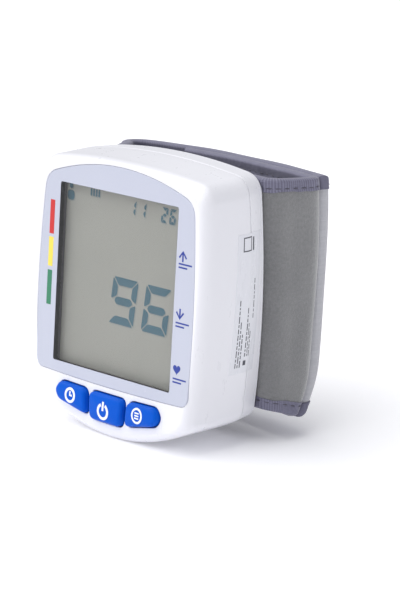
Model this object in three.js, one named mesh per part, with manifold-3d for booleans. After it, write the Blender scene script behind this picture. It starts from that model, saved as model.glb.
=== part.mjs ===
// Wrist blood pressure monitor: a moulded housing with display, keys and works, and a wrap-around cloth cuff.
// Millimetres, +Z up, +X to the right seen from the front, +Y to the back.
// The origin is the centre of the flat foot under the housing.

import * as THREE from 'three';
import { mergeVertices } from 'three/addons/utils/BufferGeometryUtils.js';
import Module from 'manifold-3d';

const wasm = await Module();
wasm.setup();

// Housing, measured from the window centre on the front face
const leanBack = 4.2;
const footCut = 0.3;
const footMiddle = 12;
const windowWidth = 48;
const windowTall = 49.2;
const partingDepth = 17;
const wall = 1.8;
const frontWall = 2.6;
const edgeDepth = 4;
const backRound = 1.3;
const backTaper = 2.2;
const bodyRim = 2.9;
const bodyCrownRim = 2;
const bodyShoulderDrop = 2.5;
const bodyShoulderIn = 1;
const bodyHip = 34.2;
const bodyHipIn = 3.4;
const bodyTopRound = 5;
const bodyBottomRound = 4;
const faceBottomIn = 3;
const fit = 0.3;

// Lens
const lensThickness = 1.2;
const lensBorder = 8.2;
const lensAbove = 7.3;
const lensShoulderDrop = 5.5;
const lensShoulderIn = 1.2;
const lensHipRise = 0.7;
const lensHipIn = 0.9;
const lensBelow = 3;
const lensTopRound = 4;
const lensBottomRound = 2.4;
const lensRim = 0.6;

// Display stack
const gasketWidth = 1;
const gasketReveal = 0.4;
const gasketDepth = 1.5;
const glassThickness = 2;
const glassBorder = 1;
const holderWall = 1.5;
const stripThickness = 0.8;
const stripTall = 2.4;
const boardThickness = 1.2;
const boardMargin = 0.2;
const boardShoulder = 25;
const boardAboveEdge = 5.8;
const boardBottomHalf = 15;

// Keys
const keyProud = 2;
const keyTravel = 0.7;
const keyBelowLens = 2.6;
const keyTall = 8.2;
const keyAboveEdge = 4.4;
const keyHalf = 7.3;
const keyGap = 1.2;
const sideKeyEnd = 21.8;
const sideKeyEndDrop = 5.2;
const keyRound = 1.8;
const keyEdge = 0.8;
const flangeThickness = 0.8;
const flangeReach = 0.6;
const switchSize = 6;
const switchTall = 1.7;
const plungerRadius = 1.6;

// Case posts and screws
const postRadius = 2.4;
const postInset = 5.4;
const lowerPostIn = 2.3;
const postTopClear = 0.65;
const postBottomClear = 3.55;
const screwRadius = 1;
const screwLength = 14;
const screwHeadRadius = 1.9;
const screwHeadTall = 1.4;
const cuffScrewLength = 9;

// Battery bay
const cellRadius = 5.25;
const cellLength = 44.5;
const nubRadius = 1.9;
const nubLength = 1;
const cellDepth = 17;
const cellPlay = 0.4;
const cellToBack = 0.25;
const cellToSide = 1.3;
const trayWall = 1;
const contactThickness = 0.5;
const contactWidth = 7;
const doorHalf = 24.5;
const doorRib = 0.5;
const doorRibLength = 6;
const doorRibs = 5;
const doorRibPitch = 2.2;

// Air works
const motorRadius = 5.8;
const motorLength = 22;
const motorInset = 12;
const motorBottom = -6;
const worksForward = 0.2;
const headLength = 13.5;
const headWidth = 13;
const nozzleRadius = 1.5;
const nozzleReach = 3;
const sensorNozzle = 1.1;
const tubeWall = 0.8;
const manifoldSize = 8;
const manifoldX = 6;
const valveRadius = 4;
const valveLength = 12;
const sensorSize = 7;
const sensorTall = 4.5;
const sensorZ = 12;
const chipSize = 9;
const chipTall = 1.4;
const chipX = 14;
const chipZ = -28;
const buzzerRadius = 4.5;
const buzzerTall = 2.4;
const buzzerX = -3;
const buzzerZ = -28;

// Cuff
const clothThickness = 2.6;
const bindingProud = 0.35;
const bindingTall = 3.6;
const cuffTop = 30.6;
const cuffTopDrop = 1.7;
const cuffBottom = 33.5;
const cuffBottomDrop = 4;
const cuffReach = 50.2;
const layerGap = 1.5;
const baseHalf = 29.5;
const cuffRight = 35;
const cuffLeft = 40.5;
const flapJoint = 39.5;
const innerLayerEnd = -22;
const crestX = -10;
const cuffDropLeft = 5.4;
const cuffDropRight = 5.5;
const armBend = 3.7;
const flapBend = 4;
const hookThickness = 0.9;
const hookTall = 44;
const hookLength = 36;
const clampHalf = 27;
const clampInset = 2.5;
const clampThickness = 2.4;
const cuffScrewInset = 3;
const bladderThickness = 2;
const bladderHalf = 29;
const bladderTall = 55;

// Widths that follow from the window: the lens grows from it and the housing from the lens
const lensHalf = windowWidth / 2 + lensBorder;
const lensShoulderHalf = lensHalf - lensShoulderIn;
const lensHipHalf = lensHalf - lensHipIn;
const bodyHalf = lensHalf + bodyRim;
const bodyShoulderHalf = bodyHalf - bodyShoulderIn;
const bodyHipHalf = bodyHalf - bodyHipIn;
const postX = bodyHalf - postInset;
const motorX = bodyHalf - motorInset;

// Heights above and below the window centre that follow from the window and the keys
const lensCrown = windowTall / 2 + lensAbove;
const lensShoulder = lensCrown - lensShoulderDrop;
const lensSag = windowTall / 2 + lensBelow;
const lensHip = lensSag - lensHipRise;
const bodyCrown = lensCrown + bodyCrownRim;
const bodyShoulder = bodyCrown - bodyShoulderDrop;
const keyTop = lensSag + keyBelowLens;
const keyBottom = keyTop + keyTall;
const bodySag = keyBottom + keyAboveEdge;
const windowHeight = bodySag - footCut;

// Depths behind the window that follow from the battery cells
const housingDepth = cellDepth + cellRadius + cellPlay + cellToBack + fit + wall;
const worksDepth = cellDepth - worksForward;

// Clamp plate inside the bladder's edge, with its screws inside its own
const clampTall = bladderTall - 2 * clampInset;
const cuffScrewZ = clampTall / 2 - cuffScrewInset;

// Manifold level with the valve, which clears the lower cuff screw's column
const manifoldZ = valveLength / 2 + postRadius + 2 * fit - cuffScrewZ;

// Case posts beyond the ends of the battery tray
const bayHalf = cellLength / 2 + contactThickness + 2 * fit;
const postTop = bayHalf + trayWall + postRadius + postTopClear;
const postBottom = bayHalf + trayWall + postRadius + postBottomClear;

const tilt = new THREE.Matrix4().makeRotationX(-THREE.MathUtils.degToRad(leanBack));

function finish(color, roughness, metalness = 0) {
  return new THREE.MeshStandardMaterial({ color, roughness, metalness });
}

const whitePlastic = finish(0xf3f4f8, 0.35);
const bluePlastic = finish(0x0a50d7, 0.3);
const clearPlastic = finish(0xd7dce8, 0.1);
const darkRubber = finish(0x2a2c30, 0.8);
const greyGlass = finish(0xa8a8a0, 0.15);
const greyPlastic = finish(0xc9ccd2, 0.5);
const blackPlastic = finish(0x232428, 0.5);
const greenBoard = finish(0x1f6b46, 0.5);
const steel = finish(0xb9bcc2, 0.3, 0.9);
const cellJacket = finish(0x50555c, 0.35, 0.4);
const clearTube = finish(0xdadbd6, 0.5);
const greyCloth = finish(0x969998, 0.95);
const hookCloth = finish(0x6f7276, 0.95);

// Closed solid from a geometry, ready to be joined and cut.
function solid(geometry, matrix) {
  const bare = geometry.clone();
  bare.deleteAttribute('normal');
  bare.deleteAttribute('uv');
  if (matrix) bare.applyMatrix4(matrix);
  const merged = mergeVertices(bare, 1e-4);
  const vertProperties = new Float32Array(merged.attributes.position.array);
  const triVerts = new Uint32Array(merged.index.array);
  return new wasm.Manifold(new wasm.Mesh({ numProp: 3, vertProperties, triVerts }));
}

function geometryOf(body) {
  const mesh = body.getMesh();
  const geometry = new THREE.BufferGeometry();
  geometry.setAttribute('position', new THREE.BufferAttribute(mesh.vertProperties, 3));
  geometry.setIndex(new THREE.BufferAttribute(mesh.triVerts, 1));
  return geometry;
}

function piece(name, shape, material) {
  const geometry = shape instanceof THREE.BufferGeometry ? shape : geometryOf(shape);
  const mesh = new THREE.Mesh(geometry, material);
  mesh.name = name;
  return mesh;
}

// Box between two corners.
function block(x0, x1, y0, y1, z0, z1) {
  const geometry = new THREE.BoxGeometry(x1 - x0, y1 - y0, z1 - z0);
  return geometry.translate((x0 + x1) / 2, (y0 + y1) / 2, (z0 + z1) / 2);
}

// Flat piece: a shape drawn in X and Z, as deep as from front to back along Y.
function plate(shape, front, back, bevel = 0) {
  const geometry = new THREE.ExtrudeGeometry(shape, {
    depth: back - front - 2 * bevel,
    curveSegments: 4,
    bevelEnabled: bevel > 0,
    bevelThickness: bevel,
    bevelSize: bevel,
    bevelOffset: -bevel,
    bevelSegments: 3,
  });
  return geometry.rotateX(Math.PI / 2).translate(0, back - bevel, 0);
}

// Round bar along Y.
function bar(radius, x, z, front, back, sides = 12) {
  const geometry = new THREE.CylinderGeometry(radius, radius, back - front, sides);
  return geometry.translate(x, (front + back) / 2, z);
}

// Round bar along X.
function crossBar(radius, y, z, left, right, sides = 10) {
  const geometry = new THREE.CylinderGeometry(radius, radius, right - left, sides);
  return geometry.rotateZ(Math.PI / 2).translate((left + right) / 2, y, z);
}

// Turned piece standing along Z, from [radius, height] pairs.
function turned(profile, x, y, z, sides = 16) {
  const points = profile.map(([radius, height]) => new THREE.Vector2(radius, height));
  return new THREE.LatheGeometry(points, sides).rotateX(Math.PI / 2).translate(x, y, z);
}

// Polygon with rounded corners.
function roundedPolygon(points, radius) {
  const shape = new THREE.Shape();
  points.forEach((corner, i) => {
    const before = points[(i + points.length - 1) % points.length];
    const after = points[(i + 1) % points.length];
    const reach = Math.min(radius, 0.45 * corner.distanceTo(before), 0.45 * corner.distanceTo(after));
    const enter = before.clone().sub(corner).setLength(reach).add(corner);
    const leave = after.clone().sub(corner).setLength(reach).add(corner);
    if (i === 0) shape.moveTo(enter.x, enter.y);
    else shape.lineTo(enter.x, enter.y);
    shape.quadraticCurveTo(corner.x, corner.y, leave.x, leave.y);
  });
  shape.closePath();
  return shape;
}

// Polygon drawn counterclockwise, with each edge moved outwards.
function grown(points, distance) {
  const edges = points.map((from, i) => {
    const along = points[(i + 1) % points.length].clone().sub(from).normalize();
    const start = new THREE.Vector2(along.y, -along.x).multiplyScalar(distance).add(from);
    return { start, along };
  });
  return edges.map((edge, i) => {
    const last = edges[(i + edges.length - 1) % edges.length];
    const offset = edge.start.clone().sub(last.start);
    const reach = offset.cross(edge.along) / last.along.cross(edge.along);
    return last.start.clone().addScaledVector(last.along, reach);
  });
}

function rectangle(halfWidth, halfTall, x = 0, z = 0) {
  return [[1, -1], [1, 1], [-1, 1], [-1, -1]].map(
    ([sx, sz]) => new THREE.Vector2(x + sx * halfWidth, z + sz * halfTall));
}

// Rectangular ring: an outer and an inner rounded rectangle.
function frameShape(innerX, innerZ, width, radius) {
  const shape = roundedPolygon(rectangle(innerX + width, innerZ + width), radius + width);
  shape.holes.push(roundedPolygon(rectangle(innerX, innerZ), radius));
  return shape;
}

// Outline with bowed sides between four rounded corners, counterclockwise seen from the front.
function bowedOutline(size, inset = 0) {
  const half = size.half - inset;
  const crown = size.crown - inset;
  const sag = inset - size.sag;
  const shoulder = new THREE.Vector2(size.shoulderHalf - inset, size.shoulder - inset);
  const hip = new THREE.Vector2(size.hipHalf - inset, inset - size.hip);
  const topRound = Math.max(size.topRound - inset, fit);
  const bottomRound = Math.max(size.bottomRound - inset, fit);
  const mirrored = (point) => new THREE.Vector2(-point.x, point.y);
  const corners = [hip, shoulder, mirrored(shoulder), mirrored(hip)];
  const rounds = [bottomRound, topRound, topRound, bottomRound];
  const middleZ = (hip.y + shoulder.y) / 2;
  const middles = [[half, middleZ], [0, crown], [-half, middleZ], [0, sag]];
  const steps = [4, 6, 4, 8];
  const sides = corners.map((from, i) => {
    const to = corners[(i + 1) % corners.length];
    const middle = new THREE.Vector2(...middles[i]);
    const control = middle.multiplyScalar(2).sub(from.clone().add(to).multiplyScalar(0.5));
    const length = from.distanceTo(to);
    const start = rounds[i] / length;
    const end = 1 - rounds[(i + 1) % rounds.length] / length;
    return { curve: new THREE.QuadraticBezierCurve(from, control, to), start, end };
  });
  const outline = [];
  sides.forEach(({ curve, start, end }, i) => {
    for (let k = 0; k <= steps[i]; k += 1) {
      outline.push(curve.getPoint(THREE.MathUtils.lerp(start, end, k / steps[i])));
    }
    const next = sides[(i + 1) % sides.length];
    const corner = corners[(i + 1) % corners.length];
    const turn = new THREE.QuadraticBezierCurve(curve.getPoint(end), corner, next.curve.getPoint(next.start));
    outline.push(turn.getPoint(0.25), turn.getPoint(0.5), turn.getPoint(0.75));
  });
  return outline;
}

// Triangles over a flat outline, wound the same way as the outline.
function capFaces(outline) {
  const winding = Math.sign(THREE.ShapeUtils.area(outline));
  return THREE.ShapeUtils.triangulateShape(outline, []).map((face) => {
    const area = THREE.ShapeUtils.area(face.map((i) => outline[i]));
    return Math.sign(area) === winding ? face : face.reverse();
  });
}

// Skin over rings of equally many points, closed at both ends, with its faces turned outwards.
function loft(rings, outline) {
  const count = rings[0].length;
  const points = rings.flat();
  const faces = [];
  rings.slice(1).forEach((ring, k) => {
    for (let i = 0; i < count; i += 1) {
      const a = k * count + i;
      const b = k * count + (i + 1) % count;
      faces.push([a, a + count, b], [b, a + count, b + count]);
    }
  });
  const last = (rings.length - 1) * count;
  capFaces(outline).forEach(([a, b, c]) => {
    faces.push([a, b, c], [c + last, b + last, a + last]);
  });
  const volume = faces.reduce((sum, [a, b, c]) => {
    const normal = new THREE.Vector3().crossVectors(points[b], points[c]);
    return sum + points[a].dot(normal);
  }, 0);
  const index = faces.flatMap((face) => (volume < 0 ? face.reverse() : face));
  return new THREE.BufferGeometry().setFromPoints(points).setIndex(index);
}

// Housing outlines: the lens, the flat front rim round it, and the body behind the rounded edge
const lensSize = {
  half: lensHalf, crown: lensCrown, shoulder: lensShoulder, shoulderHalf: lensShoulderHalf,
  hip: lensHip, hipHalf: lensHipHalf, sag: lensSag, topRound: lensTopRound, bottomRound: lensBottomRound,
};
const bodySize = {
  half: bodyHalf, crown: bodyCrown, shoulder: bodyShoulder, shoulderHalf: bodyShoulderHalf,
  hip: bodyHip, hipHalf: bodyHipHalf, sag: bodySag, topRound: bodyTopRound, bottomRound: bodyBottomRound,
};
const rearSize = {
  ...bodySize, half: bodyHalf - backTaper, shoulderHalf: bodyShoulderHalf - backTaper,
  hipHalf: bodyHipHalf - backTaper,
};
const faceSize = {
  half: lensHalf + lensRim, crown: lensCrown + lensRim, shoulder: lensShoulder + lensRim,
  shoulderHalf: lensShoulderHalf + lensRim, hip: bodyHip + fit, hipHalf: bodyHipHalf - faceBottomIn,
  sag: bodySag - faceBottomIn, topRound: lensTopRound, bottomRound: bodyBottomRound,
};

function onFace(outline, depth) {
  return outline.map((point) => new THREE.Vector3(point.x, depth, point.y).applyMatrix4(tilt));
}

function upright(outline, depth) {
  return outline.map((point) => new THREE.Vector3(point.x, depth, point.y));
}

// Outer skin of the whole housing: rounded front edge, walls that taper behind the parting line, rounded back.
function housingSkin() {
  const faceOutline = bowedOutline(faceSize);
  const bodyOutline = bowedOutline(bodySize);
  const rings = [];
  const edgeSteps = 4;
  for (let k = 0; k <= edgeSteps; k += 1) {
    const turn = (k / edgeSteps) * Math.PI / 2;
    const outline = faceOutline.map((point, i) => point.clone().lerp(bodyOutline[i], Math.sin(turn)));
    rings.push(onFace(outline, edgeDepth * (1 - Math.cos(turn))));
  }
  rings.push(upright(bodyOutline, partingDepth));
  const backSteps = 3;
  for (let k = 0; k <= backSteps; k += 1) {
    const turn = (k / backSteps) * Math.PI / 2;
    const inset = backRound * (1 - Math.cos(turn));
    rings.push(upright(bowedOutline(rearSize, inset), housingDepth - backRound * (1 - Math.sin(turn))));
  }
  return solid(loft(rings, bodyOutline));
}

// Hollow of the housing, its walls moved inwards by the inset.
function housingHollow(inset) {
  const shoulderStep = 1.2;
  return solid(loft([
    onFace(bowedOutline(bodySize, inset + shoulderStep), frontWall),
    onFace(bowedOutline(bodySize, inset), frontWall + shoulderStep),
    upright(bowedOutline(bodySize, inset), partingDepth),
    upright(bowedOutline(rearSize, inset), housingDepth - wall - shoulderStep),
    upright(bowedOutline(rearSize, inset + shoulderStep), housingDepth - wall),
  ], bowedOutline(bodySize, inset)));
}

// Space across the whole housing between two depths.
function slice(front, back) {
  const reach = 3 * bodySag;
  return solid(block(-reach, reach, front, back, -windowHeight, reach));
}

const lowerPostX = postX - lowerPostIn;
const postSpots = [
  [postX, postTop], [-postX, postTop], [lowerPostX, -postBottom], [-lowerPostX, -postBottom],
];
const cellSpots = [0, 1].map((k) => {
  const bayLeft = bodyShoulderHalf - wall - cellToSide;
  return -bayLeft + cellRadius + k * (2 * cellRadius + fit);
});
const bayFront = cellDepth - cellRadius - cellPlay;
const bayBack = housingDepth - wall - fit;
const bayRight = cellSpots[1] + cellRadius + fit;
const lensSeat = lensThickness + fit;
const apertureX = windowWidth / 2 + gasketReveal + gasketWidth + fit;
const apertureZ = windowTall / 2 + gasketReveal + gasketWidth + fit;

// Key outlines, seen from the front: the middle one and a tapering one at each side of it.
const middleKey = [
  [keyHalf - keyGap / 2, -keyBottom], [keyHalf, -keyTop],
  [-keyHalf, -keyTop], [keyGap / 2 - keyHalf, -keyBottom],
].map(([x, z]) => new THREE.Vector2(x, z));
const rightKey = [
  [keyHalf + keyGap / 2, -keyBottom + keyGap / 2], [sideKeyEnd - keyRound, -keyTop - sideKeyEndDrop],
  [sideKeyEnd, -keyTop - sideKeyEndDrop / 2], [sideKeyEnd - keyRound, -keyTop + keyGap / 4],
  [keyHalf + keyGap, -keyTop],
].map(([x, z]) => new THREE.Vector2(x, z));
const leftKey = rightKey.map((point) => new THREE.Vector2(-point.x, point.y)).reverse();
const keys = [
  { name: 'clock', outline: leftKey },
  { name: 'power', outline: middleKey },
  { name: 'memory', outline: rightKey },
];

function middleOf(points) {
  return points.reduce((sum, point) => sum.add(point), new THREE.Vector2()).divideScalar(points.length);
}

// Opening in the left wall for the battery cover, made smaller by the gap for the cover itself.
function doorSpace(gap) {
  const front = bayFront + gap;
  const back = housingDepth - backRound - gap;
  return solid(block(-2 * bodyHalf, -postX, front, back, gap - doorHalf, doorHalf - gap));
}

const skin = housingSkin();
const hollow = housingHollow(wall);
const shell = skin.subtract(hollow);

// Front case: walls, lens seat, display window, key openings and screw posts.
function frontCase() {
  const posts = postSpots.map(([x, z]) => solid(bar(postRadius, x, z, 0, partingDepth)));
  const inside = skin.intersect(solid(block(
    -bodyHalf, bodyHalf, frontWall - fit, 2 * partingDepth, -bodySag, bodyCrown), tilt));
  let body = shell;
  posts.forEach((post) => {
    body = body.add(post.intersect(inside));
  });
  body = body.intersect(slice(-housingDepth, partingDepth));
  const lensPocket = new THREE.Shape(bowedOutline(lensSize, -fit));
  body = body.subtract(solid(plate(lensPocket, -frontWall, lensSeat), tilt));
  const aperture = roundedPolygon(rectangle(apertureX, apertureZ), gasketWidth + fit);
  body = body.subtract(solid(plate(aperture, 0, 2 * frontWall), tilt));
  keys.forEach(({ outline }) => {
    const opening = roundedPolygon(grown(outline, fit), keyRound + fit);
    body = body.subtract(solid(plate(opening, -frontWall, 2 * frontWall), tilt));
  });
  postSpots.forEach(([x, z]) => {
    const tip = housingDepth - screwHeadTall - screwLength - 2 * fit;
    body = body.subtract(solid(bar(screwRadius + fit, x, z, tip, housingDepth, 12)));
  });
  return body.subtract(doorSpace(0));
}

// Rear cover: the back half of the shell with a locating lip, screw columns and an air hole.
function rearCover() {
  const lipThickness = 0.9;
  const lipReach = 1.4;
  const front = partingDepth + fit;
  let body = shell.intersect(slice(front, 2 * housingDepth));
  const lipBore = housingHollow(wall + fit + lipThickness);
  const tongue = housingHollow(wall + fit).subtract(lipBore);
  const root = housingHollow(wall - fit).subtract(lipBore);
  const lip = tongue.intersect(slice(front - lipReach, front + lipReach));
  const lipRoot = root.intersect(slice(front, front + lipReach));
  const besideCells = solid(block(-2 * bodyHalf, 0, 0, 2 * housingDepth, -doorHalf, doorHalf));
  body = body.add(lip.add(lipRoot).subtract(besideCells));
  const columns = [...postSpots, [0, cuffScrewZ], [0, -cuffScrewZ]];
  columns.forEach(([x, z]) => {
    body = body.add(solid(bar(postRadius, x, z, front, housingDepth - wall / 2)).intersect(skin));
  });
  postSpots.forEach(([x, z]) => {
    const headSeat = housingDepth - screwHeadTall - fit;
    body = body.subtract(solid(bar(screwRadius + fit, x, z, 0, 2 * housingDepth, 12)));
    body = body.subtract(solid(bar(screwHeadRadius + fit, x, z, headSeat, 2 * housingDepth)));
    body = body.subtract(solid(bar(postRadius + fit, x, z, 0, front)));
  });
  [cuffScrewZ, -cuffScrewZ].forEach((z) => {
    body = body.subtract(solid(bar(screwRadius + fit, 0, z, front + wall, 2 * housingDepth, 12)));
  });
  body = body.subtract(solid(bar(nozzleRadius + fit, manifoldX, manifoldZ, front, 2 * housingDepth)));
  return body.subtract(doorSpace(0));
}

// Battery cover in the left wall, with grip ribs across it.
function batteryCover() {
  const cover = shell.intersect(doorSpace(fit));
  const ribFront = cellDepth - doorRibLength / 2;
  let body = cover;
  for (let k = 0; k < doorRibs; k += 1) {
    const z = (k - (doorRibs - 1) / 2) * doorRibPitch;
    body = body.add(solid(bar(doorRib, -bodyHalf, z, ribFront, ribFront + doorRibLength, 10)));
  }
  return body;
}

// Screw lying along Y with its head to the back.
function screw(name, x, z, headBack, length) {
  const headFront = headBack - screwHeadTall;
  const shank = solid(bar(screwRadius, x, z, headFront - length, headBack - screwHeadTall / 2, 8));
  return piece(name, shank.add(solid(bar(screwHeadRadius, x, z, headFront, headBack))), steel);
}

// Depths of the stack behind the lens, square to the leaning face
const gasketFront = lensThickness + fit;
const glassFront = gasketFront + gasketDepth + fit;
const stripFront = glassFront + glassThickness + fit;
const boardFront = stripFront + stripThickness + fit;
const boardBack = boardFront + boardThickness;
const sensorBore = sensorNozzle + 2 * fit;
const sensorDepth = boardBack + 2 * fit + sensorBore + tubeWall;
const glassHalf = windowWidth / 2 + glassBorder;
const glassHalfTall = windowTall / 2 + glassBorder;
const boardHalf = glassHalf + fit + holderWall + boardMargin;
const boardBottom = bodySag - boardAboveEdge;
const boardTop = glassHalfTall + fit + holderWall + boardMargin;
const flangeFront = frontWall + fit;
const plungerFront = flangeFront + flangeThickness + fit;

// Lens, gasket, display glass, its holder, contact strips and the circuit board.
function displayPieces() {
  const lensShape = new THREE.Shape(bowedOutline(lensSize));
  const gasketX = windowWidth / 2 + gasketReveal;
  const gasketZ = windowTall / 2 + gasketReveal;
  const gasketShape = frameShape(gasketX, gasketZ, gasketWidth, gasketReveal);
  const glassShape = roundedPolygon(rectangle(glassHalf, glassHalfTall), fit);
  const holderShape = frameShape(glassHalf + fit, glassHalfTall + fit, holderWall, fit);
  const boardShape = roundedPolygon([
    [boardBottomHalf, -boardBottom], [boardHalf, -boardShoulder], [boardHalf, boardTop],
    [-boardHalf, boardTop], [-boardHalf, -boardShoulder], [-boardBottomHalf, -boardBottom],
  ].map(([x, z]) => new THREE.Vector2(x, z)), 1);
  const strip = (z) => plate(
    roundedPolygon(rectangle(glassHalf - stripTall, stripTall / 2, 0, z), fit),
    stripFront, stripFront + stripThickness);
  const stripZ = glassHalfTall - stripTall;
  return [
    piece('display_lens', plate(lensShape, 0, lensThickness), clearPlastic),
    piece('display_gasket', plate(gasketShape, gasketFront, gasketFront + gasketDepth), darkRubber),
    piece('display_glass', plate(glassShape, glassFront, glassFront + glassThickness), greyGlass),
    piece('display_holder', plate(holderShape, glassFront, boardFront - fit), blackPlastic),
    piece('contact_strip_upper', strip(stripZ), darkRubber),
    piece('contact_strip_lower', strip(-stripZ), darkRubber),
    piece('circuit_board', plate(boardShape, boardFront, boardBack), greenBoard),
  ];
}

// One key with its flange behind the front wall, and the switch and plunger that it works on.
function keyPieces({ name, outline }) {
  const middle = middleOf(outline);
  const capBack = flangeFront + flangeThickness / 2;
  const cap = solid(plate(roundedPolygon(outline, keyRound), -keyProud, capBack, keyEdge));
  const flangeBack = flangeFront + flangeThickness;
  const inner = Math.min(...outline.map((point) => point.x)) + keyGap;
  const outer = Math.max(...outline.map((point) => point.x)) - keyGap;
  const flange = solid(plate(roundedPolygon(grown(outline, flangeReach), keyRound), flangeFront, flangeBack))
    .intersect(solid(block(inner, outer, 0, 2 * flangeBack, -2 * keyBottom, 0)));
  const switchShape = roundedPolygon(rectangle(switchSize / 2, switchSize / 2, middle.x, middle.y), fit);
  const bore = new THREE.Path().absarc(middle.x, middle.y, plungerRadius + fit, 0, 2 * Math.PI);
  switchShape.holes.push(bore);
  const switchBack = boardFront - fit;
  const plungerBack = boardFront - keyTravel - fit;
  const plunger = bar(plungerRadius, middle.x, middle.y, plungerFront, plungerBack);
  return [
    piece(`key_${name}`, cap.add(flange), bluePlastic),
    piece(`switch_plunger_${name}`, plunger, blackPlastic),
    piece(`switch_body_${name}`, plate(switchShape, switchBack - switchTall, switchBack), blackPlastic),
  ];
}

// Parts soldered to the back of the board: chip, buzzer and pressure sensor with its nozzle.
function boardParts() {
  const seat = boardBack + fit;
  const chipShape = roundedPolygon(rectangle(chipSize / 2, chipSize / 2, chipX, chipZ), fit);
  const sensorBox = block(
    manifoldX - sensorSize / 2, manifoldX + sensorSize / 2, seat, seat + sensorTall,
    sensorZ - sensorSize / 2, sensorZ + sensorSize / 2);
  const nozzleBottom = sensorZ - sensorSize / 2 - nozzleReach;
  const nozzle = turned(
    [[0, 0], [sensorNozzle, 0], [sensorNozzle, nozzleReach + 1], [0, nozzleReach + 1]],
    manifoldX, sensorDepth, nozzleBottom, 10);
  return [
    piece('control_chip', plate(chipShape, seat, seat + chipTall), blackPlastic),
    piece('buzzer', bar(buzzerRadius, buzzerX, buzzerZ, seat, seat + buzzerTall, 20), blackPlastic),
    piece('pressure_sensor', solid(sensorBox).add(solid(nozzle)), greyPlastic),
  ];
}

// Tray, two cells and their contacts, open to the battery cover at the left.
function batteryPieces() {
  const trayHalf = bayHalf + trayWall;
  const trayRight = bayRight + trayWall;
  const outer = solid(block(2 * trayWall - postX, trayRight, bayFront - trayWall, bayBack, -trayHalf, trayHalf));
  const tray = outer.subtract(solid(block(-2 * postX, bayRight, bayFront, 2 * bayBack, -bayHalf, bayHalf)));
  const edge = cellPlay;
  const shoulder = cellLength / 2 - nubLength;
  const profile = [
    [0, -cellLength / 2], [cellRadius - edge, -cellLength / 2], [cellRadius, edge - cellLength / 2],
    [cellRadius, shoulder - edge], [cellRadius - edge, shoulder], [nubRadius, shoulder],
    [nubRadius, cellLength / 2], [0, cellLength / 2],
  ];
  const cells = cellSpots.map((x, k) => {
    const cell = piece(`battery_cell_${k + 1}`, turned(profile, 0, 0, 0), cellJacket);
    cell.position.set(x, cellDepth, 0);
    cell.rotation.x = k * Math.PI;
    return cell;
  });
  const contactZ = cellLength / 2 + fit;
  const leaf = (x0, x1, z) => block(
    x0 - contactWidth / 2, x1 + contactWidth / 2, cellDepth - contactWidth / 2, cellDepth + contactWidth / 2,
    z, z + contactThickness);
  const lowZ = -contactZ - contactThickness;
  return [
    piece('battery_tray', tray, greyPlastic),
    ...cells,
    piece('battery_link', leaf(cellSpots[0], cellSpots[1], contactZ), steel),
    piece('battery_contact_1', leaf(cellSpots[0], cellSpots[0], lowZ), steel),
    piece('battery_contact_2', leaf(cellSpots[1], cellSpots[1], lowZ), steel),
  ];
}

// Rounded block standing along Z.
function standingBlock(halfX, halfY, x, y, bottom, top, radius) {
  const outline = rectangle(halfX, halfY, x, y);
  const geometry = new THREE.ExtrudeGeometry(roundedPolygon(outline, radius), {
    depth: top - bottom, curveSegments: 3, bevelEnabled: false,
  });
  return geometry.translate(0, 0, bottom);
}

// Flexible tube over two nozzles, along a list of points.
function tube(points, bore) {
  const section = new THREE.Shape().absarc(0, 0, bore + tubeWall, 0, 2 * Math.PI);
  section.holes.push(new THREE.Path().absarc(0, 0, bore, 0, 2 * Math.PI));
  const path = new THREE.CatmullRomCurve3(points);
  return new THREE.ExtrudeGeometry(section, {
    steps: 3 * points.length, curveSegments: 4, extrudePath: path,
  });
}

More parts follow.
